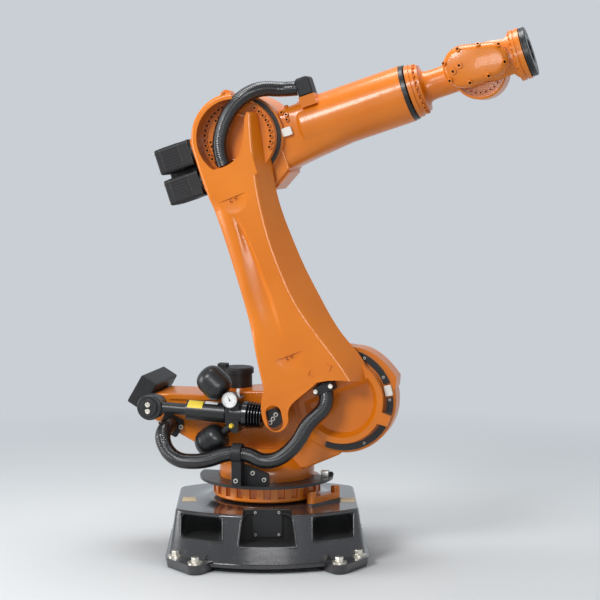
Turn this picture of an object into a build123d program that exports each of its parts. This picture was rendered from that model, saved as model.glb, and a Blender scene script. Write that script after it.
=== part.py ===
from build123d import *
from math import atan2, cos, degrees, hypot, radians, sin
import os

os.makedirs("parts", exist_ok=True)

# Axes of the robot, mm
A2_X = 350.0  # A1 axis to A2 axis
A2_Z = 675.0  # floor to A2 axis
LINK_LEN = 1150.0  # A2 axis to A3 axis
ARM_DROP = 41.0  # A3 axis down to the A4 axis
ARM_REACH = 1000.0  # A3 to A5 along the arm
FLANGE_REACH = 215.0  # A5 to the tool face

# Rest pose, degrees
A1_REST = -15.0
LEAN = 21.7  # link arm leans back
PITCH = 18.4  # arm points up

# Clearances, mm
PIN_GAP = 0.3  # radial and axial, at bearings and seats
FREE_GAP = 6.0  # between faces that pass each other

# Lateral layout, near side is negative Y
ARM_R = 117.0  # radius of the arm tube
LINK_THICK = 110.0  # width of the link arm
PLATE_THICK = 18.0  # ear and arch plate
BEAM_FAR = -(ARM_R + 13.0)  # link arm face beside the arm tube
LINK_NEAR = BEAM_FAR - LINK_THICK
HUB_NEAR = BEAM_FAR + 25.0
HUB_FAR = 140.0
HUB_STEP = HUB_NEAR + 95.0  # end of the wide part of the hub
COLUMN_NEAR = HUB_NEAR + 10.0
COLUMN_FAR = 130.0
LINK_FAR = HUB_NEAR - FREE_GAP
DISH_RIM = BEAM_FAR - 20.0
DRUM_NEAR = BEAM_FAR + 2 * FREE_GAP
DRUM_FAR = 130.0
STRUT_Y = BEAM_FAR - 55.0

# Base, mm
FOOT_T = 42.0
LIP_T = 14.0
SHOULDER_R = 11.0
SKIRT_Z = 22.0
SHOULDER_Z = 228.0
NECK_Z = 250.0
BOLT_A = (375.0, 270.0)
BOLT_B = (290.0, 385.0)
BOLT_R = 13.5
TUNNEL_X = 267.5
TUNNEL_W = 165.0
TUNNEL_Z0 = 122.0
TUNNEL_H = 92.0
NICHE_Y = 262.0
SPIGOT_R = 120.0
SPIGOT_H = 12.0

# Column, mm
GUIDE_R = 283.0  # hose guide plate on the turntable
GUIDE_T = 12.0
RING_R = GUIDE_R - 56.0
RING_TOP = 318.0
FOOT_R = RING_R - 27.0
NECK_R = FOOT_R
HUB_R = 222.0
HUB_REAR_R = 182.0
A2_BOSS_R = 90.0
LEDGE_T = 8.0
MOTOR_R = 60.0
A1_MOTOR_X = -140.0
A1_MOTOR_Y = 50.0
A1_MOTOR_Z = 690.0
GUARD_T = 8.0
BUFFER_T = 12.0
BUFFER_W = 44.0
BUFFER_TURN = 13.0  # degrees above the level
CLAMP_Y = -(GUIDE_R - 28.0)  # hose clamp on the guide plate
CLAMP_X = -75.0
CLAMP_W = 40.0
HOSE_Z = 460.0  # lower hose in that clamp
STOP_R = 19.0  # stop lever of A1
STOP_SEAT = 12.0
STOP_PIVOT = (0.72 * (RING_R + 28.0), -0.69 * (RING_R + 28.0))
STOP_END = (0.978 * (RING_R + 66.0), -0.208 * (RING_R + 66.0))

# Counterbalance strut, mm
EYE_X = -450.0
EYE_Z = 627.0
ROD_X = 82.0
ROD_Z = 604.0
EYE_R = 54.0
EYE_W = 64.0
PIN_R = 24.0
ROD_R = 20.0
ROD_EYE_R = 38.0
GLAND_S = 400.0

# Link arm, mm
LINK_HUB_R = 176.0
HEAD_R = 180.0
POCKET_R = 155.0
POCKET_Y = BEAM_FAR - 40.0
FLANGE_HEAD_R = 155.0  # gear flange right of the tongue
POCKET_LINE = ((-210, -60), (-128, -88), (-60, -93), (-17, -80), (28, -34), (60, 26), (84, 68), (130, 88), (230, 100))
EDGE_R = 14.0
PLATE_SET = 0.8  # ear plate behind the near face
SCOOP_R = 320.0
SCOOP_DEEP = 7.0
HOSE_R = 32.0
LINK_CLAMP_C = -30.0
A3_BOSS_R = 100.0

# Arm and wrist, mm
TUBE_END = ARM_REACH - 310.0
RING_END = TUBE_END + 17.0
TUBE_START = 232.0
ROOT_END = 150.0
DRUM_R = 178.0
BLOCK_T = 215.0
A3_BUFFER_T = 190.0
SPINDLE_R = 56.0
NECK_TUBE_R = 60.0
NECK_RING_R = 109.0
CHEEK_R = 108.0
CHEEK_DROP = 18.0
CHEEK_NEAR = -60.0
CHEEK_FAR = 85.0
HAND_SPLIT = -98.0
HAND_NEAR = -130.0
A5_BOSS_R = 50.0
EGG_REAR_R = 86.0
EGG_FRONT_R = 72.0
HAND_R = 104.0
TOOL_SPIGOT_R = 60.0
FLANGE_R = 100.0
FLANGE_T = 24.0
TOOL_PCD = 160.0
TOOL_HOLE_R = 6.0
TOOL_BORE_R = 50.0
MOTOR_W = 108.0
UPPER_HOSE_R = 31.0

# Derived places
A3_X = A2_X - LINK_LEN * sin(radians(LEAN))
A3_Z = A2_Z + LINK_LEN * cos(radians(LEAN))
ARM_X = A3_X + ARM_DROP * sin(radians(PITCH))
ARM_Z = A3_Z - ARM_DROP * cos(radians(PITCH))
HAND_FRONT = ARM_REACH + FLANGE_REACH - FLANGE_T - 1.0
STRUT_LEN = hypot(ROD_X - EYE_X, ROD_Z - EYE_Z)
STRUT_TILT = degrees(atan2(ROD_Z - EYE_Z, ROD_X - EYE_X))


def side(x, z, turn, y=0.0):
    return Plane(origin=(x, y, z), x_dir=(cos(radians(turn)), 0, sin(radians(turn))), z_dir=(0, -1, 0))


def link(y):
    return side(A2_X, A2_Z, LEAN, y)


def arm(y):
    return side(ARM_X, ARM_Z, PITCH, y)


def strut(y):
    return side(EYE_X, EYE_Z, STRUT_TILT, y)


def across(plane, s):
    return Plane(origin=plane.from_local_coords((s, 0, 0)), x_dir=plane.y_dir, z_dir=plane.x_dir)


def spot(plane, *xyz):
    return plane.from_local_coords(xyz)


def write(piece, label, turned=True):
    shape = piece.part.rotate(Axis.Z, A1_REST) if turned else piece.part
    shape.label = label
    export_step(shape, f"parts/{label}.step")


# Base casting with feet, fork tunnels and niches
with BuildPart() as base_frame:
    for z, wide, corner, deep in ((SKIRT_Z, 408, 244, 398), (SHOULDER_Z, 376, 224, 356)):
        with BuildSketch(Plane.XY.offset(z)):
            with BuildLine():
                ThreePointArc((-wide, -corner), (0, -deep), (wide, -corner))
                Line((wide, -corner), (wide, corner))
                ThreePointArc((wide, corner), (0, deep), (-wide, corner))
                Line((-wide, corner), (-wide, -corner))
            make_face()
            fillet(vertices(), 46)
    loft(ruled=True)
    fillet(base_frame.faces().sort_by(Axis.Z)[-1].edges(), SHOULDER_R)
    with BuildSketch(Plane.XY.offset(SKIRT_Z)):
        with BuildLine():
            ThreePointArc((-418, -252), (0, -410), (418, -252))
            Line((418, -252), (418, 252))
            ThreePointArc((418, 252), (0, 410), (-418, 252))
            Line((-418, 252), (-418, -252))
        make_face()
        fillet(vertices(), 46)
    extrude(amount=LIP_T)
    for sx in (-1, 1):
        for sy in (-1, 1):
            with BuildSketch(Plane.XY.offset(FOOT_T)):
                with Locations((sx * BOLT_A[0], sy * BOLT_A[1]), (sx * BOLT_B[0], sy * BOLT_B[1])):
                    Circle(42)
                with Locations((sx * 240, sy * 230)):
                    Circle(90)
                make_hull()
            extrude(amount=-FOOT_T, taper=12)
    with BuildSketch(Plane.XZ):
        with BuildLine():
            Polyline((0, SHOULDER_Z - 40), (330, SHOULDER_Z - 40), (330, SHOULDER_Z))
            Spline(
                (330, SHOULDER_Z), (270, SHOULDER_Z + 6), (NECK_R + 34, SHOULDER_Z + 12), (NECK_R, NECK_Z),
                tangents=((-1, 0), (0, 1)),
            )
            Polyline((NECK_R, NECK_Z), (0, NECK_Z), (0, SHOULDER_Z - 40))
        make_face()
    revolve(axis=Axis.Z)
    with Locations((0, 0, NECK_Z)):
        Cylinder(SPIGOT_R, SPIGOT_H, align=(Align.CENTER, Align.CENTER, Align.MIN))
    with BuildSketch(Plane.XZ) as tunnels:
        with Locations((-TUNNEL_X, TUNNEL_Z0 + TUNNEL_H / 2), (TUNNEL_X, TUNNEL_Z0 + TUNNEL_H / 2)):
            RectangleRounded(TUNNEL_W, TUNNEL_H, 22)
    extrude(amount=600, both=True, mode=Mode.SUBTRACT)
    for sy in (-1, 1):
        with BuildSketch(Plane.XZ.offset(-sy * NICHE_Y)):
            Polygon((-114, 106), (114, 106), (84, 330), (-84, 330), align=None)
            fillet(vertices(), 16)
        extrude(amount=-sy * 200, mode=Mode.SUBTRACT)
    with BuildSketch(Plane.XY.offset(SHOULDER_Z - 20)):
        with Locations(STOP_PIVOT, STOP_END):
            Circle(STOP_R + 4)
        make_hull()
    extrude(amount=20 + STOP_SEAT)
    with Locations(*[(sx * p[0], sy * p[1], 0) for p in (BOLT_A, BOLT_B) for sx in (-1, 1) for sy in (-1, 1)]):
        Cylinder(BOLT_R, 2 * FOOT_T + 20, mode=Mode.SUBTRACT)
write(base_frame, "base_frame", False)

# Cover plates in the niches
with BuildPart() as base_cover_plate:
    with BuildSketch(Plane.XZ.offset(NICHE_Y)):
        with Locations((0, 176)):
            RectangleRounded(120, 112, 8)
    extrude(amount=8)
write(base_cover_plate, "base_cover_plate", False)

with BuildPart() as base_rear_plate:
    with BuildSketch(Plane.XZ.offset(-NICHE_Y)):
        with Locations((0, 176)):
            RectangleRounded(120, 112, 8)
    extrude(amount=-8)
write(base_rear_plate, "base_rear_plate", False)

# Stop lever of A1 on its pad
with BuildPart() as a1_stop:
    with BuildSketch(Plane.XY.offset(SHOULDER_Z + STOP_SEAT)):
        with Locations(STOP_PIVOT, STOP_END):
            Circle(STOP_R)
        make_hull()
    extrude(amount=26)
    with BuildSketch(Plane.XY.offset(SHOULDER_Z + STOP_SEAT + 26)):
        with Locations(STOP_PIVOT, STOP_END):
            Circle(STOP_R)
    extrude(amount=24)
    fillet(a1_stop.faces().sort_by(Axis.Z)[-2:].edges(), 6)
write(a1_stop, "a1_stop", False)

# Turntable ring with pockets
with BuildPart() as turntable_ring:
    with Locations((0, 0, NECK_Z + PIN_GAP)):
        Cylinder(RING_R, RING_TOP - NECK_Z - PIN_GAP, align=(Align.CENTER, Align.CENTER, Align.MIN))
        Cylinder(
            SPIGOT_R + PIN_GAP, SPIGOT_H, align=(Align.CENTER, Align.CENTER, Align.MIN), mode=Mode.SUBTRACT
        )
    chamfer(turntable_ring.faces().sort_by(Axis.Z)[0].edges().sort_by(SortBy.RADIUS)[-1], 5)
    with BuildSketch(Plane.XY.offset(NECK_Z + 16)):
        with PolarLocations(RING_R, 24):
            RectangleRounded(26, 30, 5)
    extrude(amount=RING_TOP - NECK_Z - 28, mode=Mode.SUBTRACT)
write(turntable_ring, "turntable_ring")

# Guide plate on the near half of the ring
with BuildPart() as guide_plate:
    with BuildSketch(Plane.XY.offset(RING_TOP)):
        Circle(GUIDE_R)
        Circle(FOOT_R + 3, mode=Mode.SUBTRACT)
        with Locations((0, GUIDE_R + 20)):
            Rectangle(3 * GUIDE_R, 2 * GUIDE_R, mode=Mode.SUBTRACT)
    extrude(amount=GUIDE_T)
write(guide_plate, "guide_plate")

# Rotating column casting
with BuildPart() as column:
    with BuildSketch(side(0, 0, 0, COLUMN_FAR)):
        Polygon(
            (-190, 376), (-299, 470), (-524, 583), (-473, 670), (-250, 670), (-60, 692), (120, 700), (330, 780),
            (480, 560), (330, 440), (240, 400), (190, 376),
            align=None,
        )
        fillet(vertices(), 26)
    extrude(amount=COLUMN_FAR - COLUMN_NEAR)
    fillet(column.faces().sort_by(Axis.Y)[0].edges(), 9)
    fillet(column.faces().sort_by(Axis.Y)[-1].edges(), 9)
    with BuildSketch(Plane.XZ):
        with BuildLine():
            Polyline((0, RING_TOP), (FOOT_R, RING_TOP), (FOOT_R, RING_TOP + 34))
            Spline(
                (FOOT_R, RING_TOP + 34), (FOOT_R - 26, RING_TOP + 90), (FOOT_R - 62, RING_TOP + 140),
                tangents=((0, 1), (-0.6, 0.8)),
            )
            Polyline((FOOT_R - 62, RING_TOP + 140), (0, RING_TOP + 140), (0, RING_TOP))
        make_face()
    revolve(axis=Axis.Z)
    with BuildSketch(side(0, 0, 0, COLUMN_NEAR)):
        Polygon((-400, 668), (-250, 668), (-90, 687), (-90, 667), (-250, 648), (-400, 648), align=None)
    extrude(amount=LEDGE_T)
    with BuildSketch(Plane(origin=(A2_X, 0, A2_Z), x_dir=(1, 0, 0), z_dir=(0, 0, 1))):
        Polygon(
            (0, HUB_NEAR), (HUB_R, HUB_NEAR), (HUB_R, HUB_STEP), (HUB_REAR_R, HUB_STEP + 24), (HUB_REAR_R, HUB_FAR),
            (0, HUB_FAR), align=None,
        )
        fillet(vertices().sort_by(Axis.X)[-2:], 10)
    revolve(axis=Axis((A2_X, 0, A2_Z), (0, 1, 0)))
    with BuildSketch(side(A2_X, A2_Z, 0, HUB_STEP)):
        with BuildLine():
            Spline((20, HUB_R - 8), (96, HUB_R - 14), (164, HUB_R - 56), (HUB_R + 2, 98))
            Polyline((HUB_R + 2, 98), (HUB_R - 2, 52), (120, 30), (20, HUB_R - 8))
        make_face()
        fillet(vertices().sort_by(Axis.X)[-2:], 9)
    extrude(amount=HUB_STEP - HUB_NEAR)
    with BuildSketch(side(A2_X, A2_Z, 0, HUB_NEAR)):
        Circle(A2_BOSS_R)
    extrude(amount=FREE_GAP + 7)
    with BuildSketch(Plane.XY.offset(A1_MOTOR_Z - 60)):
        with Locations((A1_MOTOR_X, A1_MOTOR_Y)):
            Circle(MOTOR_R + 14)
    extrude(amount=60)
write(column, "column")

# Guard strips round the A2 hub
with BuildPart() as a2_guard:
    with BuildSketch(side(A2_X, A2_Z, 0, HUB_NEAR)):
        Circle(HUB_R - 11)
        Circle(LINK_HUB_R + 9, mode=Mode.SUBTRACT)
        Polygon((0, 0), (-500, 60), (-300, 600), (130, 600), align=None, mode=Mode.SUBTRACT)
        Polygon((0, 0), (-500, 60), (-500, -400), (-150, -400), align=None, mode=Mode.SUBTRACT)
    extrude(amount=GUARD_T)
    with BuildSketch(side(A2_X, A2_Z, BUFFER_TURN, HUB_NEAR)):
        with Locations((HUB_R - 16, 0)):
            Rectangle(90, BUFFER_W + 16)
    extrude(amount=GUARD_T, mode=Mode.SUBTRACT)
write(a2_guard, "a2_guard")

# Buffer of A2 under the horn
with BuildPart() as a2_buffer:
    with BuildSketch(side(A2_X, A2_Z, BUFFER_TURN, HUB_NEAR)):
        with Locations((HUB_R - 26, 0)):
            RectangleRounded(30, BUFFER_W, 6)
    extrude(amount=BUFFER_T)
    fillet(a2_buffer.faces().sort_by(Axis.Y)[0].edges(), 2)
write(a2_buffer, "a2_buffer")

# Motor of A1 on the column
with BuildPart() as a1_motor:
    with BuildSketch(Plane.XY.offset(A1_MOTOR_Z)):
        with Locations((A1_MOTOR_X, A1_MOTOR_Y)):
            Circle(MOTOR_R)
    extrude(amount=58)
    with BuildSketch(Plane.XY.offset(A1_MOTOR_Z + 58)):
        with Locations((A1_MOTOR_X, A1_MOTOR_Y)):
            Circle(MOTOR_R + 7)
    extrude(amount=26)
    fillet(a1_motor.faces().sort_by(Axis.Z)[-1].edges(), 8)
    with BuildSketch(Plane.XY.offset(A1_MOTOR_Z + 60)):
        with Locations((A1_MOTOR_X - MOTOR_R, A1_MOTOR_Y - 20)):
            RectangleRounded(44, 40, 8)
    extrude(amount=40)
    fillet(a1_motor.faces().sort_by(Axis.Z)[-1].edges(), 5)
write(a1_motor, "a1_motor")

# Motor of A2 on the far side
with BuildPart() as a2_motor:
    with BuildSketch(side(A2_X, A2_Z, 0, HUB_FAR)):
        Circle(150)
    extrude(amount=-60)
    fillet(a2_motor.faces().sort_by(Axis.Y)[-1].edges(), 14)
    with BuildSketch(side(A2_X, A2_Z, 0, HUB_FAR + 60)):
        RectangleRounded(150, 150, 24)
    extrude(amount=-240)
    fillet(a2_motor.faces().sort_by(Axis.Y)[-1].edges(), 12)
    with BuildSketch(Plane.XY.offset(A2_Z + 75)):
        with Locations((A2_X, HUB_FAR + 240)):
            RectangleRounded(60, 74, 10)
    extrude(amount=34)
write(a2_motor, "a2_motor")

# Junction box on the slanted rear face
with BuildPart() as junction_box:
    with BuildSketch(side(-473, 670, degrees(atan2(87, 51)), COLUMN_FAR + 40)):
        with Locations((-20, 38)):
            RectangleRounded(133, 76, 8)
    extrude(amount=COLUMN_FAR + 40 - COLUMN_NEAR + 20)
    fillet(junction_box.faces().sort_by(Axis.Y)[0].edges(), 4)
    fillet(junction_box.faces().sort_by(Axis.Y)[-1].edges(), 4)
write(junction_box, "junction_box")

# Gland plate of the lower hose
with BuildPart() as hose_gland_plate:
    with BuildSketch(side(-390, 540, -27, COLUMN_NEAR)):
        RectangleRounded(90, 80, 10)
    extrude(amount=12)
write(hose_gland_plate, "hose_gland_plate")

# Clamp of the lower hose on the guide plate
with BuildPart() as lower_hose_clamp:
    with BuildSketch(Plane.YZ.offset(CLAMP_X)):
        with Locations((CLAMP_Y, HOSE_Z)):
            Circle(HOSE_R + 10)
        with Locations((CLAMP_Y, (RING_TOP + GUIDE_T + HOSE_Z) / 2)):
            Rectangle(56, HOSE_Z - RING_TOP - GUIDE_T)
        with Locations((CLAMP_Y, RING_TOP + GUIDE_T + 5)):
            Rectangle(56, 10)
        with Locations((CLAMP_Y, HOSE_Z)):
            Circle(HOSE_R + PIN_GAP, mode=Mode.SUBTRACT)
    extrude(amount=CLAMP_W)
    with BuildSketch(Plane.XZ.offset(-CLAMP_Y - 28)):
        Polygon(
            (CLAMP_X, RING_TOP + GUIDE_T), (CLAMP_X + 145, RING_TOP + GUIDE_T),
            (CLAMP_X + 145, RING_TOP + GUIDE_T + 46), (CLAMP_X + CLAMP_W, RING_TOP + GUIDE_T + 84),
            (CLAMP_X, RING_TOP + GUIDE_T + 84), align=None,
        )
    extrude(amount=8)
write(lower_hose_clamp, "lower_hose_clamp")

# Pivot pin at the rear of the strut
with BuildPart() as rear_pivot_pin:
    with BuildSketch(side(EYE_X, EYE_Z, 0, COLUMN_NEAR)):
        Circle(38)
    extrude(amount=COLUMN_NEAR - STRUT_Y - EYE_W / 2 - PIN_GAP)
    with BuildSketch(side(EYE_X, EYE_Z, 0, COLUMN_NEAR)):
        Circle(PIN_R)
    extrude(amount=COLUMN_NEAR - STRUT_Y + EYE_W / 2 + PIN_GAP)
    with BuildSketch(side(EYE_X, EYE_Z, 0, STRUT_Y - EYE_W / 2 - PIN_GAP)):
        Circle(PIN_R + 12)
    extrude(amount=9)
    fillet(rear_pivot_pin.faces().sort_by(Axis.Y)[0].edges(), 3)
write(rear_pivot_pin, "rear_pivot_pin")

# Lower hose from the gland to the link arm
with BuildPart() as lower_hose:
    hose_end = spot(link(STRUT_Y - 2), LINK_CLAMP_C, 97, 0)
    hose_turn = spot(link(STRUT_Y - 2), LINK_CLAMP_C, 6, 0)
    with BuildLine() as lower_path:
        FilletPolyline(
            (-390, COLUMN_NEAR - 12, 540), (-390, CLAMP_Y - 7, 540), (-330, CLAMP_Y - 13, 430),
            (-200, CLAMP_Y - 13, 430), (CLAMP_X - 25, CLAMP_Y, HOSE_Z), (CLAMP_X + CLAMP_W + 25, CLAMP_Y, HOSE_Z),
            (44, CLAMP_Y - 4, 432), (106, CLAMP_Y - 4, 438), (158, CLAMP_Y + 4, 474), (200, CLAMP_Y + 20, 525),
            (229, CLAMP_Y + 44, 590), hose_turn, hose_end,
            radius=(60, 50, 60, 60, 60, 80, 90, 110, 150, 130, 60),
        )
    with BuildSketch(Plane(origin=lower_path.line @ 0, z_dir=lower_path.line % 0)):
        Circle(HOSE_R)
    sweep()
write(lower_hose, "lower_hose")

# Counterbalance cylinder
with BuildPart() as counter_cylinder:
    with BuildSketch(strut(STRUT_Y + EYE_W / 2)):
        Circle(EYE_R)
    extrude(amount=EYE_W)
    fillet(counter_cylinder.edges().filter_by(GeomType.CIRCLE), 7)
    with BuildSketch(strut(STRUT_Y)):
        with BuildLine():
            Polyline(
                (40, 0), (40, 24), (160, 24), (160, 41), (326, 41), (326, 32), (350, 32), (350, 45), (GLAND_S, 45),
                (GLAND_S, 0), close=True,
            )
        make_face()
    revolve(axis=Axis(strut(STRUT_Y).origin, strut(STRUT_Y).x_dir))
    with BuildSketch(strut(STRUT_Y + 40)):
        Polygon((333, 33), (367, 73), (390, 73), (390, -73), (367, -73), (333, -33), align=None)
        fillet(vertices().sort_by(Axis.X)[-2:], 8)
    extrude(amount=80)
    with BuildSketch(strut(STRUT_Y)):
        with BuildLine():
            Polyline((EYE_R + 6, 0), (EYE_R + 6, ROD_R + PIN_GAP), (GLAND_S, ROD_R + PIN_GAP), (GLAND_S, 0), close=True)
        make_face()
    revolve(axis=Axis(strut(STRUT_Y).origin, strut(STRUT_Y).x_dir), mode=Mode.SUBTRACT)
    with BuildSketch(strut(STRUT_Y + EYE_W)):
        Circle(PIN_R + PIN_GAP)
    extrude(amount=2 * EYE_W, mode=Mode.SUBTRACT)
write(counter_cylinder, "counter_cylinder")

# Two gas accumulators on the slanted faces of the manifold
for label, up in (("accumulator_upper", 1), ("accumulator_lower", -1)):
    port = spot(strut(STRUT_Y), 350, up * 53, 0)
    bottle = side(port.X, port.Z, STRUT_TILT + 180 - up * degrees(atan2(34, 40)), STRUT_Y)
    with BuildPart() as accumulator:
        with BuildSketch(across(bottle, 40)):
            Circle(62)
        extrude(amount=136)
        ends = accumulator.edges().filter_by(GeomType.CIRCLE).sort_by(Axis(bottle.origin, bottle.x_dir))
        fillet(ends[0], 44)
        fillet(accumulator.edges().filter_by(GeomType.CIRCLE).sort_by(Axis(bottle.origin, bottle.x_dir))[-1], 52)
        with BuildSketch(across(bottle, 98)):
            Circle(63.5)
        extrude(amount=6)
        with BuildSketch(bottle):
            with BuildLine():
                Polyline((0, 0), (0, 18), (60, 18), (60, 0), close=True)
            make_face()
        revolve(axis=Axis(bottle.origin, bottle.x_dir))
    write(accumulator, label)

# Pressure gauge on the manifold
with BuildPart() as pressure_gauge:
    with BuildSketch(strut(STRUT_Y - 40)):
        with Locations((356, 66)):
            Circle(33)
    extrude(amount=24)
    fillet(pressure_gauge.faces().sort_by(Axis.Y)[0].edges(), 2.5)
write(pressure_gauge, "pressure_gauge")

# Bellows between cylinder and rod eye
with BuildPart() as cylinder_bellows:
    with BuildSketch(strut(STRUT_Y)):
        with BuildLine():
            Polyline(
                (GLAND_S, 36), (GLAND_S, 54), (GLAND_S + 26, 54), (GLAND_S + 30, 46), (GLAND_S + 36, 54),
                (GLAND_S + 44, 46), (GLAND_S + 52, 54), (GLAND_S + 60, 46), (GLAND_S + 68, 54), (GLAND_S + 76, 46),
                (GLAND_S + 82, 50), (GLAND_S + 82, 34), close=True,
            )
        make_face()
    revolve(axis=Axis(strut(STRUT_Y).origin, strut(STRUT_Y).x_dir))
write(cylinder_bellows, "cylinder_bellows")

# Counterbalance rod with its eye
with BuildPart() as counter_rod:
    with BuildSketch(strut(STRUT_Y)):
        with BuildLine():
            Polyline((EYE_R + 112, 0), (EYE_R + 112, ROD_R), (STRUT_LEN - 10, ROD_R), (STRUT_LEN - 10, 0), close=True)
        make_face()
    revolve(axis=Axis(strut(STRUT_Y).origin, strut(STRUT_Y).x_dir))
    with BuildSketch(strut(STRUT_Y + EYE_W / 2)):
        with Locations((STRUT_LEN, 0)):
            Circle(ROD_EYE_R)
    extrude(amount=EYE_W)
write(counter_rod, "counter_rod")

# Head of the link arm, with its rim open on the right
with BuildPart() as link_head:
    with BuildSketch(link(BEAM_FAR)):
        with Locations((0, LINK_LEN)):
            Circle(HEAD_R)
        with Locations((24, LINK_LEN + HEAD_R - 2)):
            Circle(19)
    extrude(amount=BEAM_FAR - LINK_NEAR - 46)
    with BuildSketch(Plane(origin=spot(link(0), 0, LINK_LEN, 0), x_dir=link(0).x_dir, z_dir=link(0).y_dir)):
        Polygon((0, LINK_NEAR), (HEAD_R, LINK_NEAR), (HEAD_R, BEAM_FAR), (0, BEAM_FAR), align=None)
        fillet(vertices().group_by(Axis.Y)[0].sort_by(Axis.X)[-1], EDGE_R)
    revolve(axis=Axis(spot(link(0), 0, LINK_LEN, 0), (0, 1, 0)))
    with BuildSketch(link(BEAM_FAR + 1)):
        Polygon(
            (46, LINK_LEN + 320), (56, LINK_LEN + 120), (80, LINK_LEN + 60), (50, LINK_LEN - 60), (30, LINK_LEN - 320),
            (320, LINK_LEN - 320), (320, LINK_LEN + 320),
            align=None,
        )
    extrude(amount=BEAM_FAR - LINK_NEAR + 2, mode=Mode.SUBTRACT)
    with BuildSketch(link(BEAM_FAR)):
        with Locations((0, LINK_LEN)):
            Circle(FLANGE_HEAD_R)
    extrude(amount=BEAM_FAR - POCKET_Y)

# Link arm casting
with BuildPart() as link_arm:
    with BuildSketch(link(BEAM_FAR)):
        with BuildLine():
            Spline(
                (-268, 112), (-254, 0.195 * LINK_LEN), (-226, 0.35 * LINK_LEN), (-204, 0.551 * LINK_LEN),
                (-192, 0.718 * LINK_LEN), (-188, 0.873 * LINK_LEN), (-HEAD_R, LINK_LEN),
            )
            Polyline((-HEAD_R, LINK_LEN), (96, LINK_LEN + 84), (124, LINK_LEN + 64))
            Spline(
                (124, LINK_LEN + 64), (116, LINK_LEN), (97, 0.92 * LINK_LEN), (68, 0.81 * LINK_LEN),
                (54, 0.714 * LINK_LEN), (53, 0.6 * LINK_LEN), (58, 0.49 * LINK_LEN), (72, 0.38 * LINK_LEN),
                (90, 0.27 * LINK_LEN), (112, 228), (140, 150), (148, 95), (136, 36),
            )
            Spline((136, 36), (96, 66), (40, 94), (-60, 110), (-268, 112))
        make_face()
    with BuildSketch(link(LINK_NEAR)):
        with BuildLine():
            Spline(
                (-268, 112), (-254, 0.195 * LINK_LEN), (-226, 0.35 * LINK_LEN), (-204, 0.551 * LINK_LEN),
                (-192, 0.718 * LINK_LEN), (-188, 0.873 * LINK_LEN), (-HEAD_R, LINK_LEN),
            )
            Polyline((-HEAD_R, LINK_LEN), (84, LINK_LEN + 80), (104, LINK_LEN + 62))
            Spline(
                (104, LINK_LEN + 62), (80, LINK_LEN), (46, 0.9 * LINK_LEN), (20, 0.81 * LINK_LEN),
                (-2, 0.7 * LINK_LEN), (-13, 0.6 * LINK_LEN), (-14, 0.49 * LINK_LEN), (-4, 0.38 * LINK_LEN),
                (28, 0.27 * LINK_LEN), (52, 228), (72, 160), (84, 112), (94, 66),
            )
            Spline((94, 66), (66, 78), (20, 96), (-60, 110), (-268, 112))
        make_face()
    loft(ruled=True)
    near_edges = link_arm.faces().sort_by(Axis.Y)[0].edges().sort_by(SortBy.LENGTH)
    fillet(near_edges[-2:], EDGE_R)
    add(link_head.part)
    with BuildSketch(link(LINK_NEAR + PLATE_THICK)):
        with BuildLine():
            Spline((-206, 14), (-188, 50), (-134, 76), (-68, 98), (-20, 118))
            Polyline((-20, 118), (-60, 160), (-232, 190))
            Spline((-232, 190), (-284, 122), (-309, 50), (-304, 6), (-268, -25), (-226, -14), (-206, 14))
        make_face()
        with Locations((-262, 33)):
            SlotCenterToCenter(40, 66, rotation=80, mode=Mode.SUBTRACT)
    extrude(amount=PLATE_THICK - PLATE_SET)
    with BuildSketch(link(LINK_FAR)):
        Circle(LINK_HUB_R)
    extrude(amount=LINK_FAR - DISH_RIM)
    with BuildSketch(link(HUB_NEAR - GUARD_T - FREE_GAP)):
        Polygon((100, -60), (172, -130), (142, -162), (60, -100), align=None)
    extrude(amount=HUB_NEAR - GUARD_T - FREE_GAP - DISH_RIM)
    with BuildSketch(link(DISH_RIM)):
        Circle(LINK_HUB_R - 24)
        with Locations((0, 110)):
            Rectangle(400, 120, mode=Mode.SUBTRACT)
    extrude(amount=-24, taper=38, mode=Mode.SUBTRACT)
    with BuildSketch(link(LINK_FAR)):
        Circle(A2_BOSS_R + PIN_GAP)
    extrude(amount=7 + PIN_GAP, mode=Mode.SUBTRACT)
    with BuildSketch(link(POCKET_Y)):
        with Locations((0, LINK_LEN)):
            Circle(POCKET_R)
        with BuildLine():
            Spline(*[(c, LINK_LEN + a) for c, a in POCKET_LINE])
            Polyline(
                (POCKET_LINE[-1][0], LINK_LEN + POCKET_LINE[-1][1]), (320, LINK_LEN - 320), (-320, LINK_LEN - 320),
                (POCKET_LINE[0][0], LINK_LEN + POCKET_LINE[0][1]),
            )
        make_face(mode=Mode.SUBTRACT)
    extrude(amount=POCKET_Y - LINK_NEAR, mode=Mode.SUBTRACT)
    with BuildSketch(link(BEAM_FAR)):
        with Locations((0, LINK_LEN)):
            Circle(A3_BOSS_R + PIN_GAP)
    extrude(amount=FREE_GAP + PIN_GAP, mode=Mode.SUBTRACT)
    for c, a, tilt in ((-112, 0.218 * LINK_LEN, 180), (-94, 0.808 * LINK_LEN, 180)):
        scoop = spot(link(LINK_NEAR), c, a, SCOOP_R - SCOOP_DEEP)
        turned = side(scoop.X, scoop.Z, LEAN + tilt, scoop.Y)
        with Locations(turned.location):
            Sphere(SCOOP_R, arc_size3=180, align=(Align.NONE, Align.NONE, Align.NONE), mode=Mode.SUBTRACT)
write(link_arm, "link_arm")

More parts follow.
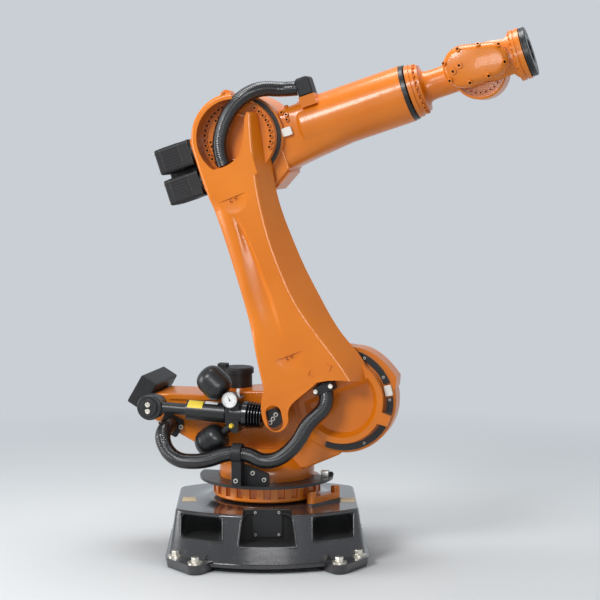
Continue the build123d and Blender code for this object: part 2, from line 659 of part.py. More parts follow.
# Gear cap in the head pocket
with BuildPart() as a3_gear_cap:
    for floor, round_r, high in ((POCKET_Y, POCKET_R - 6, 3), (POCKET_Y - 3, 93, 5)):
        with BuildSketch(link(floor)):
            with Locations((0, LINK_LEN)):
                Circle(round_r)
            with BuildLine():
                Spline(*[(c - 5, LINK_LEN + a + 5) for c, a in POCKET_LINE])
                Polyline(
                    (POCKET_LINE[-1][0] - 5, LINK_LEN + POCKET_LINE[-1][1] + 5), (320, LINK_LEN - 320),
                    (-320, LINK_LEN - 320),
                    (POCKET_LINE[0][0] - 5, LINK_LEN + POCKET_LINE[0][1] + 5),
                )
            make_face(mode=Mode.SUBTRACT)
        extrude(amount=high)
write(a3_gear_cap, "a3_gear_cap")

# Clamp of the lower hose under the arch
with BuildPart() as link_hose_clamp:
    clamp_plane = Plane(origin=spot(link(0), 0, 58, 0), x_dir=link(0).x_dir, z_dir=link(0).y_dir)
    with BuildSketch(clamp_plane):
        with Locations((LINK_CLAMP_C, STRUT_Y - 0.5)):
            RectangleRounded(84, 2 * (DISH_RIM - STRUT_Y + 0.5), 10)
        with Locations((LINK_CLAMP_C, STRUT_Y - 2)):
            Circle(HOSE_R + PIN_GAP, mode=Mode.SUBTRACT)
    extrude(amount=34)
write(link_hose_clamp, "link_hose_clamp")

# Arm housing with hub drum, root, gear block and tube
with BuildPart() as arm_housing:
    with BuildSketch(arm(DRUM_FAR - 24)):
        Polygon(
            (-80, -150), (46, -202), (ROOT_END + 2, -ARM_R - 24), (ROOT_END + 2, ARM_R - 18), (60, ARM_R + 62),
            align=None,
        )
        fillet(vertices().sort_by(Axis.Y)[0], 14)
    extrude(amount=DRUM_FAR - 24 - DRUM_NEAR - 12)
    fillet(arm_housing.faces().sort_by(Axis.Y)[0].edges(), 8)
    fillet(arm_housing.faces().sort_by(Axis.Y)[-1].edges(), 8)
    with BuildSketch(arm(0)):
        Polygon((TUBE_START, 0), (TUBE_START, ARM_R), (TUBE_END, ARM_R), (TUBE_END, 0), align=None)
        fillet(vertices().group_by(Axis.X)[0].sort_by(Axis.Y)[-1], 26)
    revolve(axis=Axis(arm(0).origin, arm(0).x_dir))
    with BuildSketch(across(arm(0), ROOT_END)):
        with Locations((-18, 0)):
            RectangleRounded(2 * ARM_R + 12, 2 * ARM_R - 30, 46)
    with BuildSketch(across(arm(0), ROOT_END + 290)):
        Circle(ARM_R - 2)
    loft()
    with BuildSketch(arm(DRUM_FAR)):
        with Locations((0, ARM_DROP)):
            Circle(DRUM_R)
    extrude(amount=DRUM_FAR - DRUM_NEAR)
    with BuildSketch(arm(DRUM_NEAR)):
        with Locations((0, ARM_DROP)):
            Circle(A3_BOSS_R)
    extrude(amount=3 * FREE_GAP)
    with BuildSketch(arm(DRUM_FAR - 8)):
        with Locations((-BLOCK_T / 2, -12)):
            RectangleRounded(BLOCK_T, 248, 24)
    extrude(amount=DRUM_FAR - 8 - DRUM_NEAR)
    with BuildSketch(arm(-(ARM_R - 85))):
        with Locations((TUBE_START + 78, ARM_R - 20)):
            Rectangle(66, 44)
    extrude(amount=78)
    with BuildSketch(arm(DRUM_NEAR + 17)):
        with Locations((A3_BUFFER_T, 4)):
            Rectangle(40 + 2 * PIN_GAP, 34 + 2 * PIN_GAP)
    extrude(amount=40, mode=Mode.SUBTRACT)
    with BuildSketch(across(arm(0), TUBE_END)):
        Circle(SPINDLE_R + PIN_GAP)
    extrude(amount=-40, mode=Mode.SUBTRACT)
write(arm_housing, "arm_housing")

# Dark ring at the front of the tube
with BuildPart() as arm_tube_ring:
    with BuildSketch(across(arm(0), TUBE_END)):
        Circle(ARM_R - 3)
        Circle(SPINDLE_R + PIN_GAP, mode=Mode.SUBTRACT)
    extrude(amount=RING_END - TUBE_END)
write(arm_tube_ring, "arm_tube_ring")

# Motor of A3 on the far side
with BuildPart() as a3_motor:
    with BuildSketch(arm(DRUM_FAR)):
        with Locations((0, ARM_DROP)):
            Circle(120)
    extrude(amount=-50)
    fillet(a3_motor.faces().sort_by(Axis.Y)[-1].edges(), 12)
    with BuildSketch(arm(DRUM_FAR + 50)):
        with Locations((0, ARM_DROP)):
            RectangleRounded(130, 130, 20)
    extrude(amount=-220)
    fillet(a3_motor.faces().sort_by(Axis.Y)[-1].edges(), 10)
    with BuildSketch(arm(DRUM_FAR + 180)):
        with Locations((0, ARM_DROP + 65)):
            RectangleRounded(60, 90, 8)
    extrude(amount=-70)
write(a3_motor, "a3_motor")

# Three wrist motors on the rear face
for label, n, y in (("wrist_motor_upper", 55, 57), ("wrist_motor_lower", -77, 57), ("wrist_motor_far", -11, -62)):
    with BuildPart() as wrist_motor:
        with BuildSketch(across(arm(0), -BLOCK_T)):
            with Locations((n, y)):
                Circle(MOTOR_W / 2 - 3)
        extrude(amount=-14)
        with BuildSketch(across(arm(0), -BLOCK_T - 14)):
            with Locations((n, y)):
                RectangleRounded(MOTOR_W, MOTOR_W, 12)
        extrude(amount=-152)
        fillet(wrist_motor.faces().sort_by(Axis(arm(0).origin, arm(0).x_dir))[0].edges(), 8)
    write(wrist_motor, label)

# Bracket of the upper hose
with BuildPart() as arm_hose_bracket:
    with BuildSketch(arm(-(ARM_R - 85))):
        with Locations((TUBE_START + 78, ARM_R + 40)):
            Rectangle(62, 76)
        fillet(vertices().sort_by(Axis.Y)[-2:], 16)
    extrude(amount=74)
    fillet(arm_hose_bracket.faces().sort_by(Axis.Y)[0].edges(), 8)
write(arm_hose_bracket, "arm_hose_bracket")

# Buffer of A3
with BuildPart() as a3_buffer:
    with BuildSketch(arm(DRUM_NEAR + 17)):
        with Locations((A3_BUFFER_T, 4)):
            RectangleRounded(40, 34, 5)
    extrude(amount=18)
write(a3_buffer, "a3_buffer")

# Guard arc round the A3 drum
with BuildPart() as a3_guard:
    with BuildSketch(arm(DRUM_NEAR)):
        with Locations((0, ARM_DROP)):
            Circle(DRUM_R - 9)
            Circle(DRUM_R - 32, mode=Mode.SUBTRACT)
            Polygon((0, 0), (35, 400), (-400, 400), (-400, -400), (210, -400), align=None, mode=Mode.SUBTRACT)
    extrude(amount=FREE_GAP)
write(a3_guard, "a3_guard")

# Cover under the arm wedge
with BuildPart() as arm_bottom_cover:
    wedge = spot(arm(0), 46, -202, 0)
    with BuildSketch(side(wedge.X, wedge.Z, PITCH + degrees(atan2(61, ROOT_END - 44)), 84)):
        Polygon((10, 0), (112, 0), (108, -10), (14, -10), align=None)
    extrude(amount=84 - DRUM_NEAR - 26)
write(arm_bottom_cover, "arm_bottom_cover")

# Upper hose from the link head to the arm bracket
with BuildPart() as upper_hose:
    hose_in = spot(arm(-(ARM_R - 42)), TUBE_START + 46.6, ARM_R + 43, 0)
    with BuildLine() as upper_path:
        FilletPolyline(
            spot(link(POCKET_Y - 42), -83, LINK_LEN - 86.5, 0), spot(link(POCKET_Y - 42), -83, LINK_LEN - 22, 0),
            spot(link(POCKET_Y - 53), -30, LINK_LEN + 50, 0), spot(link(POCKET_Y - 60), 40, LINK_LEN + 101, 0),
            spot(link(POCKET_Y - 40), 112, LINK_LEN + 122, 0), spot(link(POCKET_Y + 10), 172, LINK_LEN + 126, 0),
            spot(arm(-(ARM_R - 42)), TUBE_START - 14, ARM_R + 43, 0), hose_in,
            radius=(90, 140, 160, 130, 90, 42),
        )
    with BuildSketch(Plane(origin=upper_path.line @ 0, z_dir=upper_path.line % 0)):
        Circle(UPPER_HOSE_R)
    sweep()
write(upper_hose, "upper_hose")

# Wrist with neck and cheek
with BuildPart() as wrist_neck:
    with BuildSketch(arm(CHEEK_FAR)):
        with Locations((ARM_REACH, -CHEEK_DROP)):
            Circle(CHEEK_R)
    extrude(amount=CHEEK_FAR - CHEEK_NEAR)
    fillet(wrist_neck.edges().filter_by(GeomType.CIRCLE), 9)
    with BuildSketch(arm(0)):
        with BuildLine():
            Polyline(
                (TUBE_END - 30, 0), (TUBE_END - 30, SPINDLE_R), (RING_END + FREE_GAP, SPINDLE_R),
                (RING_END + FREE_GAP, NECK_RING_R), (RING_END + 22, NECK_RING_R), (RING_END + 25, NECK_RING_R - 5),
                (RING_END + 38, NECK_RING_R - 5), (RING_END + 41, NECK_RING_R - 13), (RING_END + 56, NECK_RING_R - 13),
            )
            Spline(
                (RING_END + 56, NECK_RING_R - 13), (RING_END + 66, NECK_TUBE_R + 8), (RING_END + 110, NECK_TUBE_R),
                tangents=((0, -1), (1, 0)),
            )
            Polyline(
                (RING_END + 110, NECK_TUBE_R), (ARM_REACH - 60, NECK_TUBE_R), (ARM_REACH - 60, 0), (TUBE_END - 30, 0)
            )
        make_face()
    revolve(axis=Axis(arm(0).origin, arm(0).x_dir))
    with BuildSketch(arm(CHEEK_NEAR)):
        with Locations((ARM_REACH, -CHEEK_DROP)):
            Circle(CHEEK_R - 10)
        with Locations((ARM_REACH, 0)):
            Circle(A5_BOSS_R + 14, mode=Mode.SUBTRACT)
    extrude(amount=-9, mode=Mode.SUBTRACT)
    with BuildSketch(arm(CHEEK_NEAR)):
        with Locations((ARM_REACH, 0)):
            Circle(A5_BOSS_R + PIN_GAP)
    extrude(amount=-25, mode=Mode.SUBTRACT)
write(wrist_neck, "wrist_neck")

# Far cover of the wrist
with BuildPart() as wrist_cover:
    with BuildSketch(arm(CHEEK_FAR)):
        with Locations((ARM_REACH, -CHEEK_DROP)):
            Circle(CHEEK_R - 14)
    extrude(amount=-12)
    fillet(wrist_cover.faces().sort_by(Axis.Y)[-1].edges(), 4)
write(wrist_cover, "wrist_cover")

# Hand with its egg-shaped near housing, elbow and flange housing
with BuildPart() as hand_housing:
    with BuildSketch(across(arm(0), ARM_REACH + 30)):
        with Locations((10, -(HAND_SPLIT + CHEEK_NEAR - FREE_GAP) / 2)):
            Ellipse(76, 15)
    with BuildSketch(across(arm(0), ARM_REACH + 158)):
        Circle(HAND_R - 8)
    loft()
    with BuildSketch(arm(CHEEK_NEAR - FREE_GAP)):
        Polygon(
            (ARM_REACH - 200, -300), (ARM_REACH + 155, -300), (ARM_REACH + 155, -HAND_R), (ARM_REACH + 131, -72),
            (ARM_REACH + 131, 72), (ARM_REACH + 155, HAND_R), (ARM_REACH + 155, 300), (ARM_REACH - 200, 300),
            align=None,
        )
    extrude(amount=-300, mode=Mode.SUBTRACT)
    with BuildSketch(arm(CHEEK_NEAR - FREE_GAP)):
        with Locations((ARM_REACH - 45, 19)):
            Circle(EGG_REAR_R)
        with Locations((ARM_REACH + 62, 8)):
            Circle(EGG_FRONT_R)
        make_hull()
    extrude(amount=CHEEK_NEAR - FREE_GAP - HAND_SPLIT)
    with BuildSketch(arm(CHEEK_NEAR - FREE_GAP)):
        with Locations((ARM_REACH, 0)):
            Circle(A5_BOSS_R)
    extrude(amount=-25)
    with BuildSketch(arm(0)):
        with BuildLine():
            Polyline(
                (ARM_REACH + 131, 0), (ARM_REACH + 131, 72), (ARM_REACH + 155, HAND_R), (ARM_REACH + 166, HAND_R),
                (ARM_REACH + 168, HAND_R - 4), (ARM_REACH + 172, HAND_R - 4), (ARM_REACH + 174, HAND_R),
                (HAND_FRONT, HAND_R), (HAND_FRONT, 0), close=True,
            )
        make_face()
    revolve(axis=Axis(arm(0).origin, arm(0).x_dir))
    with BuildSketch(across(arm(0), HAND_FRONT)):
        Circle(TOOL_SPIGOT_R + PIN_GAP)
    extrude(amount=-20, mode=Mode.SUBTRACT)
write(hand_housing, "hand_housing")

# Domed cover on the near side of the hand
with BuildPart() as hand_cover:
    with BuildSketch(arm(HAND_SPLIT)):
        with Locations((ARM_REACH - 45, 19)):
            Circle(EGG_REAR_R - 1.5)
        with Locations((ARM_REACH + 62, 8)):
            Circle(EGG_FRONT_R - 1.5)
        make_hull()
    extrude(amount=HAND_SPLIT - HAND_NEAR)
    fillet(hand_cover.faces().sort_by(Axis.Y)[0].edges(), 25)
write(hand_cover, "hand_cover")

# Tool flange with bolt circle and centring bore
with BuildPart() as tool_flange:
    with BuildSketch(across(arm(0), ARM_REACH + FLANGE_REACH - FLANGE_T)):
        Circle(FLANGE_R)
    extrude(amount=FLANGE_T)
    chamfer(tool_flange.edges().filter_by(GeomType.CIRCLE), 2.5)
    with BuildSketch(across(arm(0), ARM_REACH + FLANGE_REACH - FLANGE_T + 8)):
        Circle(FLANGE_R + 1)
        Circle(FLANGE_R - 5, mode=Mode.SUBTRACT)
    extrude(amount=4, mode=Mode.SUBTRACT)
    with BuildSketch(across(arm(0), ARM_REACH + FLANGE_REACH - FLANGE_T)):
        Circle(TOOL_SPIGOT_R)
    extrude(amount=-19)
    with BuildSketch(across(arm(0), ARM_REACH + FLANGE_REACH)):
        Circle(TOOL_BORE_R)
    extrude(amount=-8, mode=Mode.SUBTRACT)
    with BuildSketch(across(arm(0), ARM_REACH + FLANGE_REACH)):
        with PolarLocations(TOOL_PCD / 2, 12):
            Circle(TOOL_HOLE_R)
    extrude(amount=-14, mode=Mode.SUBTRACT)
write(tool_flange, "tool_flange")
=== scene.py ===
import bpy
import bmesh
from math import atan2, cos, degrees, hypot, pi, radians, sin
from mathutils import Matrix, Vector
from mathutils.bvhtree import BVHTree


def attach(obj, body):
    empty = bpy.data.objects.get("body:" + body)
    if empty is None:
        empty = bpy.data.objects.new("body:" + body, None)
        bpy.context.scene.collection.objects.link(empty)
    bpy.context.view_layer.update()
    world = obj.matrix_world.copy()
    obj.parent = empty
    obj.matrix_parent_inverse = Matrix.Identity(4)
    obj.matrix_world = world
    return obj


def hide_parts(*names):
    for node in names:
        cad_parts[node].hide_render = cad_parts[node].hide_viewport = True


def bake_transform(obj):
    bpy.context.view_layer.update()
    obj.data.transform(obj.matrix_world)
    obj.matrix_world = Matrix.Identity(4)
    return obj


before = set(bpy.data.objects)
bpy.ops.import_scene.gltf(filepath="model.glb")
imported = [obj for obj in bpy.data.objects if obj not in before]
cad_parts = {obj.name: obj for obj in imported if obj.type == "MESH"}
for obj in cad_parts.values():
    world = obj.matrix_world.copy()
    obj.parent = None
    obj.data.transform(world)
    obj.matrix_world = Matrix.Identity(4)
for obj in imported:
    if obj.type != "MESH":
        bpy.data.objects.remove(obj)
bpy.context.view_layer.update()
scene = bpy.context.scene
scene.view_settings.view_transform = "Standard"
print("frame loaded:", len(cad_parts), "nodes")


# the axes of the robot at rest, in metres, as the solids have them
robot = {
    "turn": -15.0, "lean": 21.7, "pitch": 18.4,
    "a2": (0.350, 0.675), "link": 1.150, "drop": 0.041,
    "eye": (-0.450, 0.627), "rodPin": (0.082, 0.604), "strutY": -0.185,
}
a3 = (
    robot["a2"][0] - robot["link"] * sin(radians(robot["lean"])),
    robot["a2"][1] + robot["link"] * cos(radians(robot["lean"])),
)
armStart = (
    a3[0] + robot["drop"] * sin(radians(robot["pitch"])),
    a3[1] - robot["drop"] * cos(radians(robot["pitch"])),
)
strutRun = (robot["rodPin"][0] - robot["eye"][0], robot["rodPin"][1] - robot["eye"][1])
strutTilt = degrees(atan2(strutRun[1], strutRun[0]))
strutLength = hypot(*strutRun)
turnedColumn = Matrix.Rotation(radians(robot["turn"]), 4, "Z")


def sideFrame(x, z, tilt, y):  # x along, y up, z towards the near side
    c, s = cos(radians(tilt)), sin(radians(tilt))
    return turnedColumn @ Matrix(((c, -s, 0, x), (0, 0, -1, y), (s, c, 0, z), (0, 0, 0, 1)))


def linkFrame(y):
    return sideFrame(*robot["a2"], robot["lean"], y)


def headFrame(y):  # centred on the A3 axis
    return linkFrame(y) @ Matrix.Translation((0, robot["link"], 0))


def hubFrame(y):  # centred on the A2 axis, level
    return sideFrame(*robot["a2"], 0, y)


def armFrame(y):
    return sideFrame(*armStart, robot["pitch"], y)


def strutFrame(y):
    return sideFrame(*robot["eye"], strutTilt, y)


alongX = Matrix.Rotation(radians(90), 4, "Y")  # a ring's own axis laid along x


# camera at the photograph's angle
cameraPlan = {"place": (0, -7.0, 1.754), "down": 5.61, "aside": 1.14, "lens": 100.7, "sensor": 36, "far": 60}
camera = bpy.data.objects.new("camera", bpy.data.cameras.new("camera"))
camera.location = cameraPlan["place"]
camera.rotation_euler = (radians(90 - cameraPlan["down"]), 0, radians(-cameraPlan["aside"]))
camera.data.lens = cameraPlan["lens"]
camera.data.sensor_width = cameraPlan["sensor"]
camera.data.clip_end = cameraPlan["far"]
scene.collection.objects.link(camera)
scene.camera = camera
print("camera set")


class Wire:  # a shader socket that takes part in Python sums
    def __init__(self, tree, socket):
        self.tree = tree
        self.socket = socket

    def sum(self, operation, first, second):
        node = self.tree.nodes.new("ShaderNodeMath")
        node.operation = operation
        for slot, value in zip(node.inputs, (first, second)):
            if isinstance(value, Wire):
                self.tree.links.new(value.socket, slot)
            else:
                slot.default_value = value
        return Wire(self.tree, node.outputs[0])

    def __add__(self, other):
        return self.sum("ADD", self, other)

    def __radd__(self, other):
        return self.sum("ADD", other, self)

    def __sub__(self, other):
        return self.sum("SUBTRACT", self, other)

    def __rsub__(self, other):
        return self.sum("SUBTRACT", other, self)

    def __mul__(self, other):
        return self.sum("MULTIPLY", self, other)

    def __rmul__(self, other):
        return self.sum("MULTIPLY", other, self)

    def __pow__(self, other):
        return self.sum("POWER", self, other)

    def __gt__(self, other):
        return self.sum("GREATER_THAN", self, other)

    def __lt__(self, other):
        return self.sum("LESS_THAN", self, other)

    def __abs__(self):
        return self.sum("ABSOLUTE", self, 0)


class Finish:  # one material
    def __init__(self, name):
        self.material = bpy.data.materials.new(name)
        self.material.use_nodes = True
        self.tree = self.material.node_tree
        self.shader = self.tree.nodes["Principled BSDF"]
        self.place = self.node("ShaderNodeTexCoord", out="Object")

    def feed(self, slot, value):
        if isinstance(value, Wire):
            self.tree.links.new(value.socket, slot)
        else:
            slot.default_value = value

    def node(self, kind, settings=None, sockets=None, stops=None, out=0):
        node = self.tree.nodes.new(kind)
        for key, value in (settings or {}).items():
            setattr(node, key, value)
        if stops:
            marks = node.color_ramp.elements
            while len(marks) < len(stops):
                marks.new(0.5)
            for mark, (at, tone) in zip(marks, stops):
                mark.position = at
                mark.color = tone if isinstance(tone, tuple) else (tone, tone, tone, 1)
        for key, value in (sockets or {}).items():
            self.feed(node.inputs[key], value)
        return Wire(self.tree, node.outputs[out])

    def noise(self, scale, detail=3.0, rough=0.55, stretch=None):
        place = self.place
        if stretch:
            place = self.node("ShaderNodeMapping", sockets={"Vector": place, "Scale": stretch})
        return self.node(
            "ShaderNodeTexNoise",
            sockets={"Vector": place, "Scale": scale, "Detail": detail, "Roughness": rough},
        )

    def ramp(self, value, stops):
        return self.node("ShaderNodeValToRGB", sockets={"Fac": value}, stops=stops)

    def mix(self, share, first, second):
        return self.node(
            "ShaderNodeMix", settings={"data_type": "RGBA"},
            sockets={0: share, 6: first, 7: second}, out=2,
        )

    def bump(self, height, strength, distance):
        return self.node(
            "ShaderNodeBump", sockets={"Height": height, "Strength": strength, "Distance": distance}
        )

    def axes(self):  # x, y and z of the surface
        split = self.node("ShaderNodeSeparateXYZ", sockets={"Vector": self.place}).socket.node
        return [Wire(self.tree, out) for out in split.outputs]

    def set(self, **sockets):
        for key, value in sockets.items():
            self.feed(self.shader.inputs[key.replace("_", " ")], value)


finishes = {}
spray = {  # noise scale, detail and roughness, and where each ramp starts and ends
    "broad": (2.2, 2.0), "broadStops": ((0.35, 0.0), (0.68, 1.0)),
    "dust": (34.0, 5.0, 0.68), "dustStops": ((0.56, 0.0), (0.78, 1.0)),
    "peel": 0.75, "dustRough": 0.16, "broadRough": 0.06, "dustCoat": 0.2, "insideRough": 0.6, "shine": 0.5,
}


def paintedFinish(name, plan, hollow=None):  # sprayed paint with peel, broad tone and a little dust, and painted shade where a shade mask is given
    paint = Finish(name)
    broad = paint.ramp(paint.noise(*spray["broad"]), spray["broadStops"])
    dust = paint.ramp(paint.noise(*spray["dust"]), spray["dustStops"])
    tone = paint.mix(broad, plan["low"], plan["high"])
    tone = paint.mix(dust * plan["dust"], tone, plan["worn"])
    peel = paint.noise(plan["peelScale"], 2.0)
    grain = paint.noise(plan["grainScale"], 4.0, 0.6)
    height = peel * spray["peel"] + grain * plan["grain"]
    normal = paint.bump(height, plan["bump"], plan["deep"])
    rough = plan["rough"] + spray["dustRough"] * dust + spray["broadRough"] * broad
    coat = plan["coat"] - spray["dustCoat"] * dust
    if hollow:  # painted shade: the inside of an opening is painted near black, and made rougher and without coat
        paintedShade = hollow(paint)
        tone = paint.mix(paintedShade, tone, plan["paintedShade"])
        rough = rough + spray["insideRough"] * paintedShade
        coat = coat - coat * paintedShade
    paint.set(Base_Color=tone, Roughness=rough, Normal=normal, Coat_Weight=coat)
    paint.set(Coat_Roughness=plan["coatRough"], Specular_IOR_Level=plan.get("shine", spray["shine"]))
    finishes[name] = paint.material


orangePlan = {
    "low": (0.68, 0.170, 0.003, 1), "high": (0.77, 0.212, 0.005, 1), "worn": (0.58, 0.17, 0.02, 1),
    "dust": 0.14, "rough": 0.28, "coat": 0.26, "coatRough": 0.08,
    "peelScale": 260, "grainScale": 60, "grain": 0.3, "bump": 0.08, "deep": 0.0012, "shine": 0.36,
}
paintedFinish("orangePaint", orangePlan)


hollows = {  # openings in the base, whose insides get painted shade
    "pocketAside": (0.183, 0.352), "pocketUp": (0.119, 0.217),
    "nicheHalf": 0.1155, "nicheSlope": 0.134, "nicheFoot": 0.106, "nicheUp": (0.1045, 0.231), "nicheOut": 0.2,
}


def between(value, limits):
    return (value > limits[0]) * (value < limits[1])


def pocketShadeMask(paint):  # painted shade inside the two fork pockets and the niches
    across, along, up = paint.axes()
    aside = abs(across)
    pockets = between(aside, hollows["pocketAside"]) * between(up, hollows["pocketUp"])
    leaning = aside - hollows["nicheHalf"] + hollows["nicheSlope"] * (up - hollows["nicheFoot"])
    niche = (leaning < 0) * between(up, hollows["nicheUp"]) * (abs(along) > hollows["nicheOut"])
    return pockets + niche


paintedFinish("blackCasting", {
    "low": (0.014, 0.013, 0.015, 1), "high": (0.034, 0.032, 0.035, 1), "worn": (0.10, 0.095, 0.09, 1),
    "dust": 0.3, "rough": 0.20, "coat": 0.8, "coatRough": 0.12,
    "peelScale": 60, "grainScale": 12, "grain": 1.2, "bump": 0.16, "deep": 0.003,
    # painted shade: near-black tone for the insides of the fork pockets and the niche
    "paintedShade": (0.003, 0.003, 0.003, 1),
}, hollow=pocketShadeMask)
paintedFinish("blackMetal", {
    "low": (0.010, 0.010, 0.011, 1), "high": (0.020, 0.020, 0.021, 1), "worn": (0.07, 0.07, 0.072, 1),
    "dust": 0.35, "rough": 0.32, "coat": 0.25, "coatRough": 0.25,
    "peelScale": 320, "grainScale": 90, "grain": 0.5, "bump": 0.10, "deep": 0.0012, "shine": 0.3,
})
paintedFinish("blackPlastic", {
    "low": (0.014, 0.014, 0.015, 1), "high": (0.024, 0.024, 0.026, 1), "worn": (0.07, 0.07, 0.075, 1),
    "dust": 0.3, "rough": 0.46, "coat": 0.05, "coatRough": 0.3,
    "peelScale": 700, "grainScale": 240, "grain": 0.6, "bump": 0.22, "deep": 0.0006, "shine": 0.22,
})
paintedFinish("blackRubber", {
    "low": (0.006, 0.006, 0.007, 1), "high": (0.012, 0.012, 0.013, 1), "worn": (0.035, 0.035, 0.036, 1),
    "dust": 0.3, "rough": 0.22, "coat": 0.6, "coatRough": 0.14,
    "peelScale": 900, "grainScale": 120, "grain": 0.4, "bump": 0.05, "deep": 0.0005, "shine": 0.35,
})
paintedFinish("bufferWhite", {
    "low": (0.80, 0.79, 0.74, 1), "high": (0.88, 0.87, 0.83, 1), "worn": (0.58, 0.55, 0.48, 1),
    "dust": 0.3, "rough": 0.45, "coat": 0.05, "coatRough": 0.3,
    "peelScale": 500, "grainScale": 120, "grain": 0.4, "bump": 0.08, "deep": 0.0006,
})
paintedFinish("tagYellow", {
    "low": (0.86, 0.60, 0.03, 1), "high": (0.92, 0.68, 0.05, 1), "worn": (0.55, 0.42, 0.10, 1),
    "dust": 0.35, "rough": 0.5, "coat": 0.1, "coatRough": 0.3,
    "peelScale": 400, "grainScale": 90, "grain": 0.3, "bump": 0.04, "deep": 0.0004,
})
paintedFinish("tagPale", {
    "low": (0.78, 0.66, 0.42, 1), "high": (0.86, 0.76, 0.54, 1), "worn": (0.52, 0.43, 0.26, 1),
    "dust": 0.4, "rough": 0.55, "coat": 0.05, "coatRough": 0.3,
    "peelScale": 400, "grainScale": 90, "grain": 0.3, "bump": 0.04, "deep": 0.0004,
})
paintedFinish("gaugeFace", {
    "low": (0.88, 0.88, 0.87, 1), "high": (0.93, 0.93, 0.92, 1), "worn": (0.8, 0.8, 0.78, 1),
    "dust": 0.1, "rough": 0.3, "coat": 0.4, "coatRough": 0.05,
    "peelScale": 600, "grainScale": 200, "grain": 0.1, "bump": 0.02, "deep": 0.0003,
})


drawn = {
    "lines": (180.0, 4.0, 0.6), "stretch": (1, 1, 9),
    "stain": (26.0, 4.0), "stainStops": ((0.45, 0.0), (0.75, 1.0)),
    "dull": 0.6, "stainShare": 0.6, "linesRough": 0.14, "stainRough": 0.12, "bump": 0.08, "deep": 0.0006,
}


def metalFinish(name, tone, rough):  # bare metal with fine drawn lines
    metal = Finish(name)
    lines = metal.noise(*drawn["lines"], stretch=drawn["stretch"])
    stain = metal.ramp(metal.noise(*drawn["stain"]), drawn["stainStops"])
    dull = tuple(drawn["dull"] * part for part in tone[:3]) + (1,)
    metal.set(
        Base_Color=metal.mix(stain * drawn["stainShare"], tone, dull),
        Roughness=rough + drawn["linesRough"] * lines + drawn["stainRough"] * stain,
        Normal=metal.bump(lines, drawn["bump"], drawn["deep"]), Metallic=1.0,
    )
    finishes[name] = metal.material


def socketShadeMask(paint):  # painted shade: the hole in a screw's head is painted dark
    return paint.node("ShaderNodeAttribute", settings={"attribute_name": "socket"}, out="Fac")


# the screws' inside tone is painted shade in their sockets
screwPaint = dict(
    orangePlan, worn=(0.42, 0.20, 0.10, 1), dust=0.4, rough=0.34, paintedShade=(0.06, 0.012, 0.003, 1)
)
paintedFinish("orangeScrew", screwPaint, hollow=socketShadeMask)
paintedFinish("greyScrew", {
    "low": (0.52, 0.50, 0.46, 1), "high": (0.62, 0.60, 0.55, 1), "worn": (0.30, 0.27, 0.22, 1),
    "dust": 0.5, "rough": 0.28, "coat": 0.2, "coatRough": 0.2,
    "peelScale": 500, "grainScale": 160, "grain": 0.3, "bump": 0.06, "deep": 0.0006,
    # painted shade: dark tone in the screw sockets
    "paintedShade": (0.02, 0.02, 0.02, 1),
}, hollow=socketShadeMask)
metalFinish("steel", (0.62, 0.61, 0.59, 1), 0.24)
metalFinish("boltSteel", (0.74, 0.70, 0.62, 1), 0.30)
print("finishes made:", len(finishes))

# the finish of every solid
solidFinish = {
    "orangePaint": (
        "a1_stop", "turntable_ring", "column", "link_arm", "a3_gear_cap", "arm_housing", "arm_bottom_cover",
        "wrist_neck", "wrist_cover", "hand_housing", "hand_cover",
    ),
    "blackCasting": ("base_frame", "base_rear_plate"),
    "blackMetal": (
        "guide_plate", "a2_guard", "a3_guard", "rear_pivot_pin", "counter_cylinder", "accumulator_upper",
        "accumulator_lower", "tool_flange", "arm_tube_ring", "pressure_gauge", "counter_rod",
    ),
    "blackPlastic": (
        "a1_motor", "a2_motor", "a3_motor", "wrist_motor_upper", "wrist_motor_lower", "wrist_motor_far",
        "junction_box", "base_cover_plate", "hose_gland_plate", "lower_hose_clamp", "link_hose_clamp",
        "arm_hose_bracket",
    ),
    "blackRubber": ("lower_hose", "upper_hose", "cylinder_bellows"),
    "bufferWhite": ("a2_buffer", "a3_buffer"),
}
for finish, names in solidFinish.items():
    for name in names:
        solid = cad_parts[name]
        solid.data.materials.clear()
        solid.data.materials.append(finishes[finish])


# small tools for new pieces
def makePiece(name, mesh, finish, body, sharp=35, ride=True):
    bmesh.ops.remove_doubles(mesh, verts=mesh.verts, dist=1e-6)
    bmesh.ops.recalc_face_normals(mesh, faces=mesh.faces)
    for face in mesh.faces:
        face.smooth = True
    for edge in mesh.edges:
        edge.smooth = len(edge.link_faces) == 2 and edge.calc_face_angle(0) < radians(sharp)
    data = bpy.data.meshes.new(name)
    mesh.to_mesh(data)
    mesh.free()
    data.materials.append(finishes[finish])
    piece = bpy.data.objects.new(name, data)
    scene.collection.objects.link(piece)
    if ride:
        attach(piece, body)
    return piece


def addCopies(mesh, shape, places):  # shape is a mesh, places are matrices
    for place in places:
        first = len(mesh.verts)
        mesh.from_mesh(shape)
        mesh.verts.ensure_lookup_table()
        bmesh.ops.transform(mesh, matrix=place, verts=mesh.verts[first:])


screwHead = {"chamfer": (0.14, 0.10), "rim": 0.86, "wall": 0.04, "deep": 0.6}  # shares of radius and height


